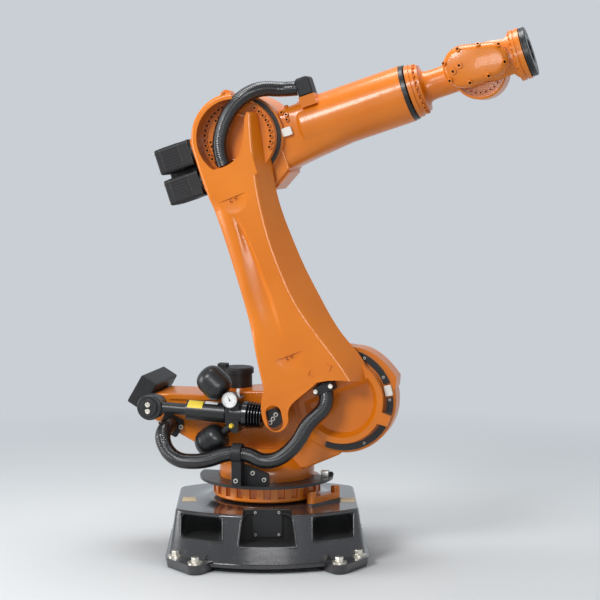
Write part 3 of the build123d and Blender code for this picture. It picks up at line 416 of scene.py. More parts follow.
def screwShape(radius, high, socket=0.55, sides=14):  # cap screw, seat at z 0
    mesh = bmesh.new()
    depth = mesh.faces.layers.float.new("socket")
    bmesh.ops.create_circle(mesh, cap_ends=True, segments=sides, radius=radius)
    top = bmesh.ops.extrude_face_region(mesh, geom=mesh.faces[:])
    lifted = [part for part in top["geom"] if isinstance(part, bmesh.types.BMVert)]
    bmesh.ops.translate(mesh, vec=(0, 0, high), verts=lifted)
    crown = [part for part in top["geom"] if isinstance(part, bmesh.types.BMFace)]
    inward, upward = screwHead["chamfer"]
    bmesh.ops.inset_region(mesh, faces=crown, thickness=radius * inward, depth=radius * upward)
    bmesh.ops.inset_region(mesh, faces=crown, thickness=radius * (screwHead["rim"] - socket))
    walls = bmesh.ops.inset_region(
        mesh, faces=crown, thickness=radius * screwHead["wall"], depth=-high * screwHead["deep"]
    )["faces"]
    # the socket's floor and walls are flagged for painted shade
    for face in crown + walls:
        face[depth] = 1.0
    bmesh.ops.recalc_face_normals(mesh, faces=mesh.faces)
    data = bpy.data.meshes.new("screwShape")
    mesh.to_mesh(data)
    mesh.free()
    return data


def hexShape(radius, high, washer, washerHigh):  # hexagon head on its washer
    mesh = bmesh.new()
    for sides, wide, low, tall in ((24, washer, 0, washerHigh), (6, radius, washerHigh, high)):
        ring = bmesh.ops.create_circle(mesh, cap_ends=True, segments=sides, radius=wide)["verts"]
        bmesh.ops.translate(mesh, vec=(0, 0, low), verts=ring)
        base = [face for face in mesh.faces if all(vert in ring for vert in face.verts)]
        grown = bmesh.ops.extrude_face_region(mesh, geom=base)["geom"]
        lifted = [part for part in grown if isinstance(part, bmesh.types.BMVert)]
        bmesh.ops.translate(mesh, vec=(0, 0, tall), verts=lifted)
        crown = [part for part in grown if isinstance(part, bmesh.types.BMFace)]
        bmesh.ops.inset_region(mesh, faces=crown, thickness=wide * 0.10, depth=tall * 0.16)
    bmesh.ops.recalc_face_normals(mesh, faces=mesh.faces)
    data = bpy.data.meshes.new("hexShape")
    mesh.to_mesh(data)
    mesh.free()
    return data


def spinProfile(points, steps, place):  # points are radius and height round z
    mesh = bmesh.new()
    corner = mesh.verts.new((points[0][0], 0, points[0][1]))
    last = corner
    for radius, high in points[1:]:
        grown = bmesh.ops.extrude_vert_indiv(mesh, verts=[last])["verts"][0]
        grown.co = (radius, 0, high)
        last = grown
    bmesh.ops.spin(
        mesh, geom=mesh.verts[:] + mesh.edges[:], cent=(0, 0, 0), axis=(0, 0, 1), angle=2 * pi, steps=steps,
        use_merge=True,
    )
    bmesh.ops.remove_doubles(mesh, verts=mesh.verts, dist=1e-6)
    bmesh.ops.recalc_face_normals(mesh, faces=mesh.faces)
    bmesh.ops.transform(mesh, matrix=place, verts=mesh.verts)
    return mesh


def platePiece(name, size, corner, place, finish, body, bevel=0.0006):
    mesh = bmesh.new()
    bmesh.ops.create_cube(mesh, size=1, matrix=Matrix.Diagonal((*size, 1)))
    upright = [edge for edge in mesh.edges if abs(edge.verts[0].co.z - edge.verts[1].co.z) > size[2] / 2]
    bmesh.ops.bevel(mesh, geom=upright, offset=corner, segments=4, profile=0.5, affect="EDGES", material=-1)
    rims = [edge for edge in mesh.edges if abs(edge.verts[0].co.z - edge.verts[1].co.z) < 1e-7]
    bmesh.ops.bevel(mesh, geom=rims, offset=bevel, segments=2, profile=0.5, affect="EDGES", material=-1)
    bmesh.ops.transform(mesh, matrix=place, verts=mesh.verts)
    return makePiece(name, mesh, finish, body)


def screwRing(name, shape, places, finish, body):
    mesh = bmesh.new()
    addCopies(mesh, shape, places)
    return makePiece(name, mesh, finish, body)


def ringPlaces(home, radius, angles):
    outward = Matrix.Translation((radius, 0, 0))
    return [home @ Matrix.Rotation(radians(angle), 4, "Z") @ outward for angle in angles]


# link arm: a copy of the solid with its long pressed hollow and rounded rear edge, in link metres
pressed = {
    "bend": -0.086, "top": 0.58, "curve": 0.19, "wall": 0.020, "deep": 0.014, "edge": 0.055, "drop": 0.016,
    "along": (0.27, 0.99, 0.010), "across": (-0.232, -0.052, 0.006), "near": 0.200, "rise": (0.165, 0.232),
    "narrow": 0.024, "widen": 0.12, "widenAlong": (0.86, 0.40), "shoulder": 0.2,
    "panelTop": (0.875, 0.80), "panelFoot": (0.30, 0.50),
    "rear": 0.218, "rearSlope": 0.08, "rearFrom": 0.40, "edgeTop": (0.97, 0.90), "edgeFoot": (0.28, 0.46),
}


def eased(value, low, high):  # 0 at low, 1 at high
    share = min(max((value - low) / (high - low), 0), 1)
    return share * share * (3 - 2 * share)


def pressedPush(across, along):
    fromLine = across - pressed["bend"] + pressed["curve"] * (along - pressed["top"]) ** 2
    wide = pressed["narrow"] + pressed["widen"] * eased(along, *pressed["widenAlong"])
    panel = eased(fromLine, 0.0, -pressed["wall"]) * eased(fromLine, -wide, -pressed["shoulder"] * wide)
    panel *= eased(along, *pressed["panelTop"]) * eased(along, *pressed["panelFoot"])
    fromEdge = across + pressed["rear"] - pressed["rearSlope"] * (along - pressed["rearFrom"])
    turned = (1 - min(max(fromEdge / pressed["edge"], 0), 1)) ** 2
    turned *= eased(along, *pressed["edgeTop"]) * eased(along, *pressed["edgeFoot"])
    return -panel * pressed["deep"] - turned * pressed["drop"]


shapes = {}  # meshes that stand for their solids


def pressedCopy(name, node, home, plan, push, body):  # push gives the way out for a place on the near side
    back = home.inverted()
    mesh = bmesh.new()
    mesh.from_mesh(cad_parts[node].data)
    bmesh.ops.remove_doubles(mesh, verts=mesh.verts, dist=1e-5)
    for axis, (low, high, step) in ((1, plan["along"]), (0, plan["across"])):
        way = Vector((axis == 0, axis == 1, 0))
        for number in range(round((high - low) / step) + 1):
            at = low + number * step
            front = []
            for face in mesh.faces:
                spots = [back @ vert.co for vert in face.verts]
                inReach = max(spot.z for spot in spots) > plan["near"]
                inReach = inReach and max(spot.y for spot in spots) > plan["along"][0]
                if inReach and min(spot[axis] for spot in spots) < at < max(spot[axis] for spot in spots):
                    front.append(face)
            parts = list({part for face in front for part in (*face.verts, *face.edges)}) + front
            bmesh.ops.bisect_plane(
                mesh, geom=parts, dist=1e-6, plane_co=home @ (way * at), plane_no=home.to_3x3() @ way
            )
    outward = home.to_3x3() @ Vector((0, 0, 1))
    for vert in mesh.verts:
        spot = back @ vert.co
        share = eased(spot.z, *plan["rise"])
        if share > 0:
            vert.co += outward * (share * push(spot.x, spot.y))
    bmesh.ops.triangulate(mesh, faces=[face for face in mesh.faces if len(face.verts) > 3])
    piece = makePiece(name, mesh, "orangePaint", body, sharp=30)
    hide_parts(node)
    flatter = piece.modifiers.new("flatter", "WEIGHTED_NORMAL")
    flatter.keep_sharp = True
    shapes[node] = piece.data
    print(name, "pressed:", len(piece.data.polygons), "faces")


pressedCopy("linkBody", "link_arm", linkFrame(0), pressed, pressedPush, "link_arm")

# domed cover on the hand, in arm metres
dome = {
    "middle": (1.003, 0.014), "half": (0.152, 0.088), "high": 0.013, "along": (-0.072, 0.108, 0.009),
    "across": (0.868, 1.136, 0.009), "near": 0.100, "rise": (0.100, 0.120),
}


def domePush(across, along):
    x = (across - dome["middle"][0]) / dome["half"][0]
    y = (along - dome["middle"][1]) / dome["half"][1]
    return dome["high"] * max(1 - (x ** 2 + y ** 2), 0)


pressedCopy("handDome", "hand_cover", armFrame(0), dome, domePush, "hand")


# hoses
def splinePoints(points, fineness=14):  # points of one smooth line through the route
    curve = bpy.data.curves.new("routeLine", "CURVE")
    curve.dimensions = "3D"
    curve.resolution_u = fineness
    spline = curve.splines.new("NURBS")
    spline.points.add(len(points) - 1)
    for knot, point in zip(spline.points, points):
        knot.co = (*point, 1)
    spline.order_u = 3
    spline.use_endpoint_u = True
    holder = bpy.data.objects.new("routeLine", curve)
    scene.collection.objects.link(holder)
    bpy.context.view_layer.update()
    line = bpy.data.meshes.new_from_object(holder.evaluated_get(bpy.context.evaluated_depsgraph_get()))
    path = [vert.co.copy() for vert in line.vertices]
    bpy.data.objects.remove(holder)
    bpy.data.meshes.remove(line)
    return path


def evenSteps(path, step):
    total = sum((b - a).length for a, b in zip(path, path[1:]))
    count = max(2, round(total / step))
    gap = total / count
    out = [path[0].copy()]
    left = gap
    for a, b in zip(path, path[1:]):
        run = (b - a).length
        at = 0.0
        while run - at >= left - 1e-9 and len(out) < count:
            at += left
            out.append(a.lerp(b, at / run))
            left = gap
        left -= run - at
    out.append(path[-1].copy())
    return out, total


def ridgedTube(mesh, path, radius, ridge, sides=28):
    steps, total = evenSteps(path, ridge["pitch"] / 4)
    shape = (0.0, 0.0, ridge["deep"], ridge["deep"])
    ahead = (steps[1] - steps[0]).normalized()
    start = Matrix.Translation(steps[0]) @ ahead.to_track_quat("Z", "Y").to_matrix().to_4x4()
    ring = bmesh.ops.create_circle(mesh, cap_ends=True, segments=sides, radius=radius, matrix=start)["verts"]
    edges = list({edge for vert in ring for edge in vert.link_edges})
    wide = radius
    for number in range(1, len(steps)):
        grown = bmesh.ops.extrude_edge_only(mesh, edges=edges)["geom"]
        ring = [part for part in grown if isinstance(part, bmesh.types.BMVert)]
        edges = [part for part in grown if isinstance(part, bmesh.types.BMEdge)]
        onward = (steps[min(number + 1, len(steps) - 1)] - steps[number - 1]).normalized()
        swing = ahead.rotation_difference(onward).to_matrix()
        bmesh.ops.rotate(mesh, cent=steps[number - 1], matrix=swing, verts=ring)
        bmesh.ops.translate(mesh, vec=steps[number] - steps[number - 1], verts=ring)
        size = radius - shape[number % 4]
        bmesh.ops.scale(
            mesh, vec=(size / wide,) * 3, space=Matrix.Translation(-steps[number]), verts=ring,
        )
        wide = size
        ahead = onward
    bmesh.ops.edgeloop_fill(mesh, edges=edges)
    return total


hoses = {
    "ridge": {"pitch": 0.0075, "deep": 0.0016},
    "lowerRadius": 0.032,
    "upperRadius": 0.031,
    "lowerColumn": (
        (-0.390, -0.107, 0.540), (-0.390, -0.270, 0.540), (-0.330, -0.290, 0.425), (-0.190, -0.292, 0.424),
        (-0.100, -0.255, 0.460), (-0.010, -0.255, 0.460), (0.044, -0.259, 0.432), (0.106, -0.259, 0.438),
        (0.158, -0.251, 0.474), (0.200, -0.235, 0.525), (0.229, -0.211, 0.590),
    ),
    "lowerLink": ((-0.187, -0.030, 0.006), (-0.187, -0.030, 0.097)),  # y, then across and along
    "upperHead": (
        (-0.212, -0.083, -0.0865), (-0.212, -0.083, -0.022), (-0.223, -0.034, 0.056), (-0.230, 0.034, 0.114),
        (-0.205, 0.104, 0.146), (-0.150, 0.166, 0.150),
    ),
    "upperArm": ((-0.082, 0.222, 0.172), (-0.075, 0.2786, 0.160)),
}
lowerRoute = [turnedColumn @ Vector(point) for point in hoses["lowerColumn"]]
lowerRoute += [linkFrame(y) @ Vector((across, along, 0)) for y, across, along in hoses["lowerLink"]]
upperRoute = [headFrame(y) @ Vector((across, along, 0)) for y, across, along in hoses["upperHead"]]
upperRoute += [armFrame(y) @ Vector((along, up, 0)) for y, along, up in hoses["upperArm"]]
for name, route, radius, node, bodies, ends in (
    ("lowerHose", lowerRoute, hoses["lowerRadius"], "lower_hose", ("column", "link_arm"), (5, 12)),
    ("upperHose", upperRoute, hoses["upperRadius"], "upper_hose", ("link_arm", "arm"), (1, 7)),
):
    path = splinePoints(route)
    mesh = bmesh.new()
    ridgedTube(mesh, path, radius, hoses["ridge"])
    hose = makePiece(name, mesh, "blackRubber", bodies[0], sharp=60, ride=False)
    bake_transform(hose)
    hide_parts(node)
    2 * radius

# bellows over the counterbalance rod
bellows = {
    "start": 0.400, "end": strutLength - 0.040, "out": 0.057, "in": 0.045, "bore": 0.030, "sides": 40,
    "collar": ((0.051, 0.0), (0.057, 0.004), (0.057, 0.022), (0.047, 0.026)), "collarEnd": 0.022,
    "folds": 5, "foldFrom": 0.030, "foldTo": 0.004, "peakTaper": 0.0014, "dipTaper": 0.001,
    "lip": (0.036, 0.002),
}
profile = [(bellows["bore"], bellows["start"])]
profile += [(radius, bellows["start"] + at) for radius, at in bellows["collar"]]
foldRun = (bellows["end"] - bellows["start"] - bellows["foldFrom"] - bellows["foldTo"]) / bellows["folds"]
for fold in range(bellows["folds"]):
    at = bellows["start"] + bellows["foldFrom"] + fold * foldRun
    peak = bellows["out"] - bellows["peakTaper"] * fold
    dip = bellows["in"] - bellows["dipTaper"] * fold
    profile += [(peak, at + 0.25 * foldRun), (peak, at + 0.45 * foldRun), (dip, at + 0.85 * foldRun)]
profile += [(bellows["lip"][0], bellows["end"] - bellows["lip"][1]), (bellows["bore"], bellows["end"])]
strutAlong = strutFrame(robot["strutY"]) @ alongX
boot = makePiece(
    "rodBellows", spinProfile(profile, bellows["sides"], strutAlong), "blackRubber", "counter_cylinder",
    ride=False,
)
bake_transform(boot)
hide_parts("cylinder_bellows")
print("bellows folded")

# pressure gauge dial
gauge = {
    "at": (0.356, 0.066), "face": -0.249, "sides": 40,
    "rim": (
        (0.0325, 0.0), (0.0332, 0.0016), (0.0318, 0.0036), (0.0296, 0.0036), (0.0288, 0.0012),
        (0.0288, 0.0002),
    ),
    "dial": ((0.0, 0.0006), (0.0288, 0.0006), (0.0288, 0.0002)),
    "marks": 21, "firstMark": 225, "markStep": 13.5, "markEnd": 0.0262, "markLift": 0.0009,
    "long": 0.0062, "short": 0.0038, "markWide": 0.0009, "markHigh": 0.0004,
    "needleTurn": 118, "needle": (0.0016, 0.0003, 0.028), "needleAt": (0.008, 0, 0.0018),
    "boss": (0.0036, 0.003, 0.0022), "bossAt": (0, 0, 0.0017),
}
dialPlace = strutFrame(gauge["face"]) @ Matrix.Translation((*gauge["at"], 0))
dialRim = spinProfile(gauge["rim"], gauge["sides"], dialPlace)
makePiece("gaugeRim", dialRim, "steel", "counter_cylinder")
dialFace = spinProfile(gauge["dial"], gauge["sides"], dialPlace)
makePiece("gaugeDial", dialFace, "gaugeFace", "counter_cylinder")
mesh = bmesh.new()
for number in range(gauge["marks"]):
    length = gauge["long"] if number % 5 == 0 else gauge["short"]
    turn = Matrix.Rotation(radians(gauge["firstMark"] - gauge["markStep"] * number), 4, "Z")
    mark = dialPlace @ turn @ Matrix.Translation((gauge["markEnd"] - length / 2, 0, gauge["markLift"]))
    size = Matrix.Diagonal((length, gauge["markWide"], gauge["markHigh"], 1))
    bmesh.ops.create_cube(mesh, size=1, matrix=mark @ size)
needleTurn = Matrix.Rotation(radians(gauge["needleTurn"]), 4, "Z")
for sides, (wide, narrow, length), place in (
    (4, gauge["needle"], dialPlace @ needleTurn @ Matrix.Translation(gauge["needleAt"]) @ alongX),
    (16, gauge["boss"], dialPlace @ Matrix.Translation(gauge["bossAt"])),
):
    bmesh.ops.create_cone(
        mesh, cap_ends=True, segments=sides, radius1=wide, radius2=narrow, depth=length, matrix=place
    )
makePiece("gaugeMarks", mesh, "blackPlastic", "counter_cylinder")
print("gauge drawn")

# small things sit where a line from the near side meets a solid
meetings = {}


def seat(node, home, x, y, reach=0.4):
    if node not in meetings:
        data = shapes.get(node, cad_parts[node].data)
        meetings[node] = BVHTree.FromPolygons(
            [vert.co for vert in data.vertices], [tuple(face.vertices) for face in data.polygons]
        )
    inward = (home.to_3x3() @ Vector((0, 0, -1))).normalized()
    spot, normal, face, away = meetings[node].ray_cast(home @ Vector((x, y, reach)), inward)
    if spot is None:
        print("no seat on", node, x, y)
        return None
    if normal.dot(inward) > 0:
        normal = -normal
    return Matrix.Translation(spot) @ normal.to_track_quat("Z", "Y").to_matrix().to_4x4()


def seats(node, home, spots, reach=0.4):
    found = [seat(node, home, x, y, reach) for x, y in spots]
    return [place for place in found if place]


def ringSpots(radius, angles, middle=(0, 0)):
    return [
        (middle[0] + radius * cos(radians(angle)), middle[1] + radius * sin(radians(angle)))
        for angle in angles
    ]


def seatedScrews(name, shape, node, home, spots, finish, body, reach=0.4):
    return screwRing(name, shape, seats(node, home, spots, reach), finish, body)


# screws
screws = {
    "large": (0.0105, 0.008), "mid": (0.0094, 0.0085), "small": (0.0056, 0.0055), "plug": (0.0135, 0.0035),
    "capOuter": ringSpots(0.136, [86 + 8.6 * step for step in range(16)]),
    "capInner": ringSpots(0.113, (103, 112, 121, 168, 177, 186)),
    "flange": ringSpots(0.140, [-37 + 9.2 * step for step in range(9)]),
    "lug": [(0.024, 0.178)],
    "root": ((0.209, 0.100), (0.189, 0.081), (0.206, 0.069), (0.203, 0.050)),
    "egg": (
        (0.889, 0.052), (0.955, 0.086), (1.035, 0.078), (1.108, 0.052), (1.112, -0.016), (1.040, -0.046),
        (0.962, -0.048), (0.892, -0.016),
    ),
    "eggPlugs": ((0.942, 0.026), (0.912, 0.012)),
    "neck": (0.7465, 0.1000), "hand": (1.1535, 0.0985),  # place along the arm, radius
    "cheek": ringSpots(0.082, [200 + 14 * step for step in range(12)], (1.0, -0.018)),
    "gland": ((-0.436, 0.546), (-0.344, 0.532)),
    "clamp": ((0.004, 0.378), (0.052, 0.352), (-0.055, 0.352)),
    "guard": ringSpots(0.198, (-62, -24, 2, 30, 62), robot["a2"]),
    "eye": ((-0.450, 0.641), (-0.450, 0.613)),
    "rod": ((0.096, 0.620), (0.084, 0.602), (0.072, 0.586)), "rodSunk": 0.005,
    "linkClamp": ((0.003, 0.075), (-0.063, 0.075)),
    "niche": ((-0.048, 0.130), (0.048, 0.130), (-0.048, 0.222), (0.048, 0.222)), "nicheReach": 0.6,
    "scoop": ((-0.122, 0.240), (-0.102, 0.243), (-0.106, 0.916), (-0.082, 0.920)),
}
largeScrew = screwShape(*screws["large"])
midScrew = screwShape(*screws["mid"])
smallScrew = screwShape(*screws["small"])
plugShape = screwShape(*screws["plug"], socket=0.4, sides=24)
head = headFrame(0)
level = sideFrame(0, 0, 0, 0)
frontHome = Matrix.Rotation(radians(90), 4, "X")  # looks at the base from the near side
fullRing = [15 * step for step in range(24)]

headSeats = seats("a3_gear_cap", head, screws["capOuter"] + screws["capInner"])
headSeats += seats("link_arm", head, screws["flange"] + screws["lug"])
screwRing("headScrews", midScrew, headSeats, "orangeScrew", "link_arm")
for name, shape, node, spots, body in (
    ("rootScrews", midScrew, "arm_housing", screws["root"], "arm"),
    ("eggScrews", largeScrew, "hand_cover", screws["egg"], "hand"),
    ("eggPlugs", plugShape, "hand_cover", screws["eggPlugs"], "hand"),
):
    seatedScrews(name, shape, node, armFrame(0), spots, "orangeScrew", body)
neckHome = armFrame(0) @ alongX @ Matrix.Translation((0, 0, screws["neck"][0]))
neckRing = ringPlaces(neckHome, screws["neck"][1], fullRing)
screwRing("neckScrews", smallScrew, neckRing, "orangeScrew", "wrist")
handBack = armFrame(0) @ alongX @ Matrix.Translation((0, 0, screws["hand"][0])) @ Matrix.Rotation(pi, 4, "X")
handRing = ringPlaces(handBack, screws["hand"][1], fullRing)
screwRing("handScrews", smallScrew, handRing, "orangeScrew", "hand")
seatedScrews(
    "cheekScrews", smallScrew, "wrist_neck", armFrame(0), screws["cheek"], "orangeScrew", "wrist",
)
for name, shape, node, spots, finish in (
    ("glandScrews", midScrew, "hose_gland_plate", screws["gland"], "greyScrew"),
    ("clampScrews", midScrew, "lower_hose_clamp", screws["clamp"], "greyScrew"),
    ("guardScrews", smallScrew, "a2_guard", screws["guard"], "greyScrew"),
    ("eyeScrews", largeScrew, "rear_pivot_pin", screws["eye"], "boltSteel"),
):
    seatedScrews(name, shape, node, level, spots, finish, "column")
sunk = Matrix.Translation((0, 0, -screws["rodSunk"]))
rodSeats = [place @ sunk for place in seats("counter_rod", level, screws["rod"])]
screwRing("rodScrews", midScrew, rodSeats, "greyScrew", "counter_rod")
seatedScrews(
    "linkClampScrew", midScrew, "link_hose_clamp", linkFrame(0), screws["linkClamp"], "boltSteel", "link_arm",
)
seatedScrews(
    "nicheScrews", smallScrew, "base_cover_plate", frontHome, screws["niche"], "greyScrew", "base",
    screws["nicheReach"],
)
print("screws set")

# raised edge round the gear cap, and the dots in the link's scoops
capRing = {
    "at": (-0.05, 0.06), "sides": 72,
    "line": (
        (0.0865, -0.002), (0.0865, 0.0035), (0.088, 0.0045), (0.093, 0.0045), (0.0955, 0.002),
        (0.0965, -0.002),
    ),
}
capFloor = head.inverted() @ seat("a3_gear_cap", head, *capRing["at"]).translation
ringHome = head @ Matrix.Translation((0, 0, capFloor.z))
capEdge = spinProfile(capRing["line"], capRing["sides"], ringHome)
makePiece("capEdge", capEdge, "orangePaint", "link_arm")
seatedScrews(
    "scoopDots", smallScrew, "link_arm", linkFrame(0), screws["scoop"], "orangeScrew", "link_arm",
)

# counterbalance trimmings
trim = {
    "tagWide": 62, "tagThick": 0.0006, "radius": 0.0414, "yellow": (0.168, 0.232), "yellowTurn": 95,
    "white": (0.238, 0.292), "whiteTurn": 60, "sides": 18,
    "valveOut": 0.022, "valveAt": (0.380, 0.073, 0),
    "valve": (
        (0, 0), (0.0090, 0), (0.0090, 0.010), (0.0055, 0.011), (0.0055, 0.020), (0.0078, 0.021),
        (0.0078, 0.034), (0.006, 0.036), (0, 0.036),
    ),
    "portOut": 0.040, "portAt": (0.362, -0.044, 0),
    "port": (
        (0, 0), (0.0100, 0), (0.0100, 0.004), (0.0082, 0.005), (0.0082, 0.013), (0.0068, 0.015), (0, 0.015),
    ),
}


def wrappedTag(name, run, fromAngle, finish):  # thin sheet round the strut tube
    mesh = bmesh.new()
    inner, outer = trim["radius"], trim["radius"] + trim["tagThick"]
    last = None
    for radius, high in ((inner, run[0]), (outer, run[0]), (outer, run[1]), (inner, run[1])):
        vert = mesh.verts.new((radius, 0, high))
        if last:
            mesh.edges.new((last, vert))
        last = vert
    bmesh.ops.spin(
        mesh, geom=mesh.verts[:] + mesh.edges[:], cent=(0, 0, 0), axis=(0, 0, 1),
        angle=radians(trim["tagWide"]), steps=12,
    )
    place = strutAlong @ Matrix.Rotation(radians(fromAngle), 4, "Z")
    bmesh.ops.transform(mesh, matrix=place, verts=mesh.verts)
    return makePiece(name, mesh, finish, "counter_cylinder")


wrappedTag("strutTagYellow", trim["yellow"], trim["yellowTurn"], "tagYellow")
wrappedTag("strutTagWhite", trim["white"], trim["whiteTurn"], "gaugeFace")
valveHome = strutFrame(robot["strutY"] - trim["valveOut"]) @ Matrix.Translation(trim["valveAt"])
valve = spinProfile(trim["valve"], trim["sides"], valveHome @ Matrix.Rotation(radians(-90), 4, "X"))
makePiece("fillValve", valve, "gaugeFace", "counter_cylinder")
portHome = strutFrame(robot["strutY"] - trim["portOut"]) @ Matrix.Translation(trim["portAt"])
port = spinProfile(trim["port"], trim["sides"], portHome)
makePiece("portCap", port, "tagYellow", "counter_cylinder")
print("strut trimmed")

# plain arrows beside the A2 axis
arrows = {
    "at": ((-0.066, 0.151, 1), (0.041, 0.151, -1)), "lean": 38, "long": 0.024, "wide": 0.0044, "high": 0.0032,
}
mesh = bmesh.new()
legSize = Matrix.Diagonal((arrows["long"], arrows["wide"], 2 * arrows["high"], 1))
for across, along, way in arrows["at"]:
    surface = linkFrame(0).inverted() @ seat("link_arm", linkFrame(0), across, along).translation
    home = linkFrame(0) @ Matrix.Translation((across, along, surface.z))
    for lean in (arrows["lean"], -arrows["lean"]):
        leg = Matrix.Rotation(radians(lean), 4, "Z") @ Matrix.Translation((way * arrows["long"] / 2, 0, 0))
        bmesh.ops.create_cube(mesh, size=1, matrix=home @ leg @ legSize)
makePiece("axisArrows", mesh, "orangeScrew", "link_arm")

# bands, ribs and screws of the wrist motors
motors = {
    "half": 0.054, "back": -0.381,
    "spots": {"upper": (0.055, -0.057), "lower": (-0.077, -0.057), "far": (-0.011, 0.062)},
    "bands": ((-0.355, 0.005), (-0.273, 0.004), (-0.231, 0.004)), "bandProud": 0.0024, "bandRound": 0.0125,
    "fins": range(-3, 4), "finGap": 0.0125, "finSize": (0.0030, 0.0055, 0.070), "finAt": -0.314,
    "finBevel": 0.0006, "screw": 0.041,
}
bandWide = 2 * motors["half"] + motors["bandProud"]
for name, (up, y) in motors["spots"].items():
    home = armFrame(y) @ Matrix.Translation((0, up, 0)) @ alongX
    for number, (at, thick) in enumerate(motors["bands"]):
        platePiece(
            f"motorBand_{name}_{number}", (bandWide, bandWide, thick), motors["bandRound"],
            home @ Matrix.Translation((0, 0, at)), "blackMetal", "arm",
        )
    mesh = bmesh.new()
    for quarter in range(4):
        turn = Matrix.Rotation(radians(90 * quarter), 4, "Z")
        for fin in motors["fins"]:
            spot = Matrix.Translation((motors["half"], motors["finGap"] * fin, motors["finAt"]))
            bmesh.ops.create_cube(
                mesh, size=1, matrix=home @ turn @ spot @ Matrix.Diagonal((*motors["finSize"], 1))
            )
    bmesh.ops.bevel(
        mesh, geom=mesh.edges[:], offset=motors["finBevel"], segments=1, profile=0.5, affect="EDGES",
        material=-1,
    )
    makePiece(f"motorFins_{name}", mesh, "blackPlastic", "arm")
    capHome = home @ Matrix.Translation((0, 0, motors["back"])) @ Matrix.Rotation(pi, 4, "X")
    capScrews = [
        capHome @ Matrix.Translation((sx * motors["screw"], sy * motors["screw"], 0))
        for sx in (-1, 1) for sy in (-1, 1)
    ]
    screwRing(f"motorScrews_{name}", smallScrew, capScrews, "greyScrew", "arm")
print("motors banded")

# switch box at the end of the guide plate
switch = {
    "at": (0.255, -0.010, 0.343), "size": (0.034, 0.030, 0.026), "corner": 0.004, "bevel": 0.002,
    "rollerAt": (0.026, -0.008, 0.0), "sides": 20,
    "roller": ((0, -0.006), (0.010, -0.006), (0.011, -0.005), (0.011, 0.005), (0.010, 0.006), (0, 0.006)),
}
switchHome = turnedColumn @ Matrix.Translation(switch["at"])
platePiece(
    "guideSwitch", switch["size"], switch["corner"], switchHome, "steel", "column",
    bevel=switch["bevel"],
)
rollerHome = switchHome @ Matrix.Translation(switch["rollerAt"]) @ Matrix.Rotation(radians(90), 4, "X")
roller = spinProfile(switch["roller"], switch["sides"], rollerHome)
makePiece("guideRoller", roller, "blackPlastic", "column")

# feet: bolts and washers
feet = {"bolt": (0.017, 0.016, 0.030, 0.006), "at": ((0.375, 0.270), (0.290, 0.385)), "top": 0.042}
footPlaces = [
    Matrix.Translation((sx * x, sy * y, feet["top"])) @ Matrix.Rotation(0.4 * sx + 0.9 * sy + x, 4, "Z")
    for x, y in feet["at"] for sx in (-1, 1) for sy in (-1, 1)
]
screwRing("footBolts", hexShape(*feet["bolt"]), footPlaces, "boltSteel", "base")

# rolled rims round the openings in the base
rims = {
    "thick": 0.0045, "round": 0.022, "reach": 0.7,
    "openings": (
        ((0.181, 0.117), (0.354, 0.117), (0.354, 0.219), (0.181, 0.219)),
        ((-0.354, 0.117), (-0.181, 0.117), (-0.181, 0.219), (-0.354, 0.219)),
        ((-0.119, 0.101), (0.119, 0.101), (0.1035, 0.217), (-0.1035, 0.217)),
    ),
}
for number, corners in enumerate(rims["openings"]):
    points = []
    for spot in range(4):
        here = Vector(corners[spot])
        before = (Vector(corners[spot - 1]) - here).normalized() * rims["round"]
        after = (Vector(corners[(spot + 1) % 4]) - here).normalized() * rims["round"]
        points += [here + before, here, here + after]
    onFace = [seat("base_frame", frontHome, point.x, point.y, rims["reach"]) for point in points]
    curve = bpy.data.curves.new("rimLine", "CURVE")
    curve.dimensions = "3D"
    curve.bevel_depth = rims["thick"]
    curve.bevel_resolution = 3
    spline = curve.splines.new("NURBS")
    spline.points.add(len(points) - 1)
    for knot, place in zip(spline.points, onFace):
        knot.co = (*place.translation, 1)
    spline.order_u = 3
    spline.use_cyclic_u = True
    holder = bpy.data.objects.new("rimLine", curve)
    scene.collection.objects.link(holder)
    bpy.context.view_layer.update()
    shape = bpy.data.meshes.new_from_object(holder.evaluated_get(bpy.context.evaluated_depsgraph_get()))
    bpy.data.objects.remove(holder)
    mesh = bmesh.new()
    mesh.from_mesh(shape)
    makePiece(f"windowRim_{number}", mesh, "blackCasting", "base", sharp=60)
print("rims rolled")

# blank tags
tags = {
    "corner": 0.004,
    "baseTagLeft": ((0.075, 0.085, 0.0008), (-0.318, -0.040, 0.2286)),
    "baseTagRight": ((0.062, 0.085, 0.0008), (0.338, -0.070, 0.2286)),
}
for name in ("baseTagLeft", "baseTagRight"):
    size, at = tags[name]
    platePiece(name, size, tags["corner"], Matrix.Translation(at), "tagPale", "base")
print("feet and tags placed")

# pale floor, and the same pale tone beyond it on every side
backdrop = {
    "half": 18.0, "near": 1.2, "far": 3.8, "low": (0.64, 0.665, 0.68, 1), "high": (0.68, 0.70, 0.71, 1),
    "rough": 0.62, "tone": (0.585, 0.625, 0.665, 1), "fill": (0.86, 0.90, 0.94, 1), "fillStrength": 0.24,
}
seenRays = ("Is Camera Ray", "Is Glossy Ray", "Is Transmission Ray")
mesh = bmesh.new()
bmesh.ops.create_grid(mesh, x_segments=4, y_segments=4, size=backdrop["half"])
data = bpy.data.meshes.new("floor")
mesh.to_mesh(data)
mesh.free()
floor = bpy.data.objects.new("floor", data)
scene.collection.objects.link(floor)
floorFinish = Finish("floorFinish")
floorFinish.set(
    Base_Color=floorFinish.mix(floorFinish.noise(0.5, 1.0), backdrop["low"], backdrop["high"]),
    Roughness=backdrop["rough"] + 0.1 * floorFinish.noise(3.0),
)
across, along, up = floorFinish.axes()
away = (across * across + along * along) ** 0.5 - backdrop["near"]
fade = floorFinish.ramp(away * (1 / (backdrop["far"] - backdrop["near"])), ((0.0, 0.0), (1.0, 1.0)))
rays = [floorFinish.node("ShaderNodeLightPath", out=kind) for kind in seenRays]
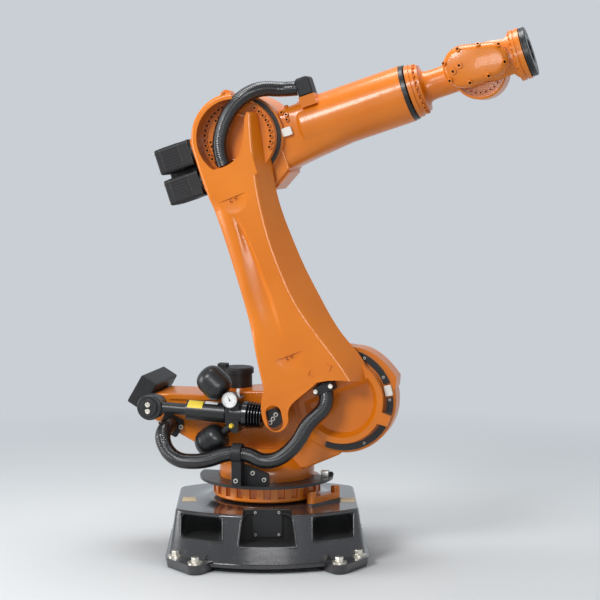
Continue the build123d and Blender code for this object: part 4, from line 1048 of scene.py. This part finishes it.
floorFinish.feed(
    floorFinish.tree.nodes["Material Output"].inputs["Surface"],
    floorFinish.node("ShaderNodeMixShader", sockets={
        0: fade * (rays[0] + rays[1] + rays[2]),
        1: Wire(floorFinish.tree, floorFinish.shader.outputs[0]),
        2: floorFinish.node("ShaderNodeEmission", sockets={"Color": backdrop["tone"], "Strength": 1.0}),
    }),
)
data.materials.append(floorFinish.material)

# soft studio light
world = bpy.data.worlds.new("studio")
world.use_nodes = True
sky = world.node_tree
fill = sky.nodes["Background"]
fill.inputs["Color"].default_value = backdrop["fill"]
fill.inputs["Strength"].default_value = backdrop["fillStrength"]
pale = sky.nodes.new("ShaderNodeBackground")
pale.inputs["Color"].default_value = backdrop["tone"]
rayKind = sky.nodes.new("ShaderNodeLightPath")
rays = [Wire(sky, rayKind.outputs[kind]) for kind in seenRays]
choice = sky.nodes.new("ShaderNodeMixShader")
sky.links.new((rays[0] + rays[1] + rays[2]).socket, choice.inputs[0])
sky.links.new(fill.outputs[0], choice.inputs[1])
sky.links.new(pale.outputs[0], choice.inputs[2])
sky.links.new(choice.outputs[0], sky.nodes["World Output"].inputs["Surface"])
scene.world = world
lamps = {  # place, aim, size, power
    "keyLight": ((-3.6, -4.4, 4.6), (0, 0, 1.1), (2.2, 1.5), 265),
    "leftLight": ((-4.6, -0.4, 1.3), (0, 0, 1.2), (2.0, 2.0), 90),
    "sideLight": ((4.2, -1.6, 3.4), (0.2, 0, 1.0), (2.4, 1.7), 30),
    "topLight": ((0.2, 0.4, 5.2), (0.2, 0, 1.0), (2.6, 1.8), 150),
    "sheenLight": ((0.0, -7.4, 2.4), (0, 0, 0.3), (4.2, 1.9), 240),  # only for gloss
}
for name, (place, aim, size, power) in lamps.items():
    lamp = bpy.data.lights.new(name, "AREA")
    lamp.shape = "RECTANGLE"
    lamp.size, lamp.size_y = size
    lamp.energy = power
    holder = bpy.data.objects.new(name, lamp)
    holder.visible_diffuse = name != "sheenLight"
    holder.visible_glossy = name != "sideLight"
    holder.location = place
    holder.rotation_euler = (Vector(aim) - Vector(place)).to_track_quat("-Z", "Y").to_euler()
    scene.collection.objects.link(holder)
print("studio lit")
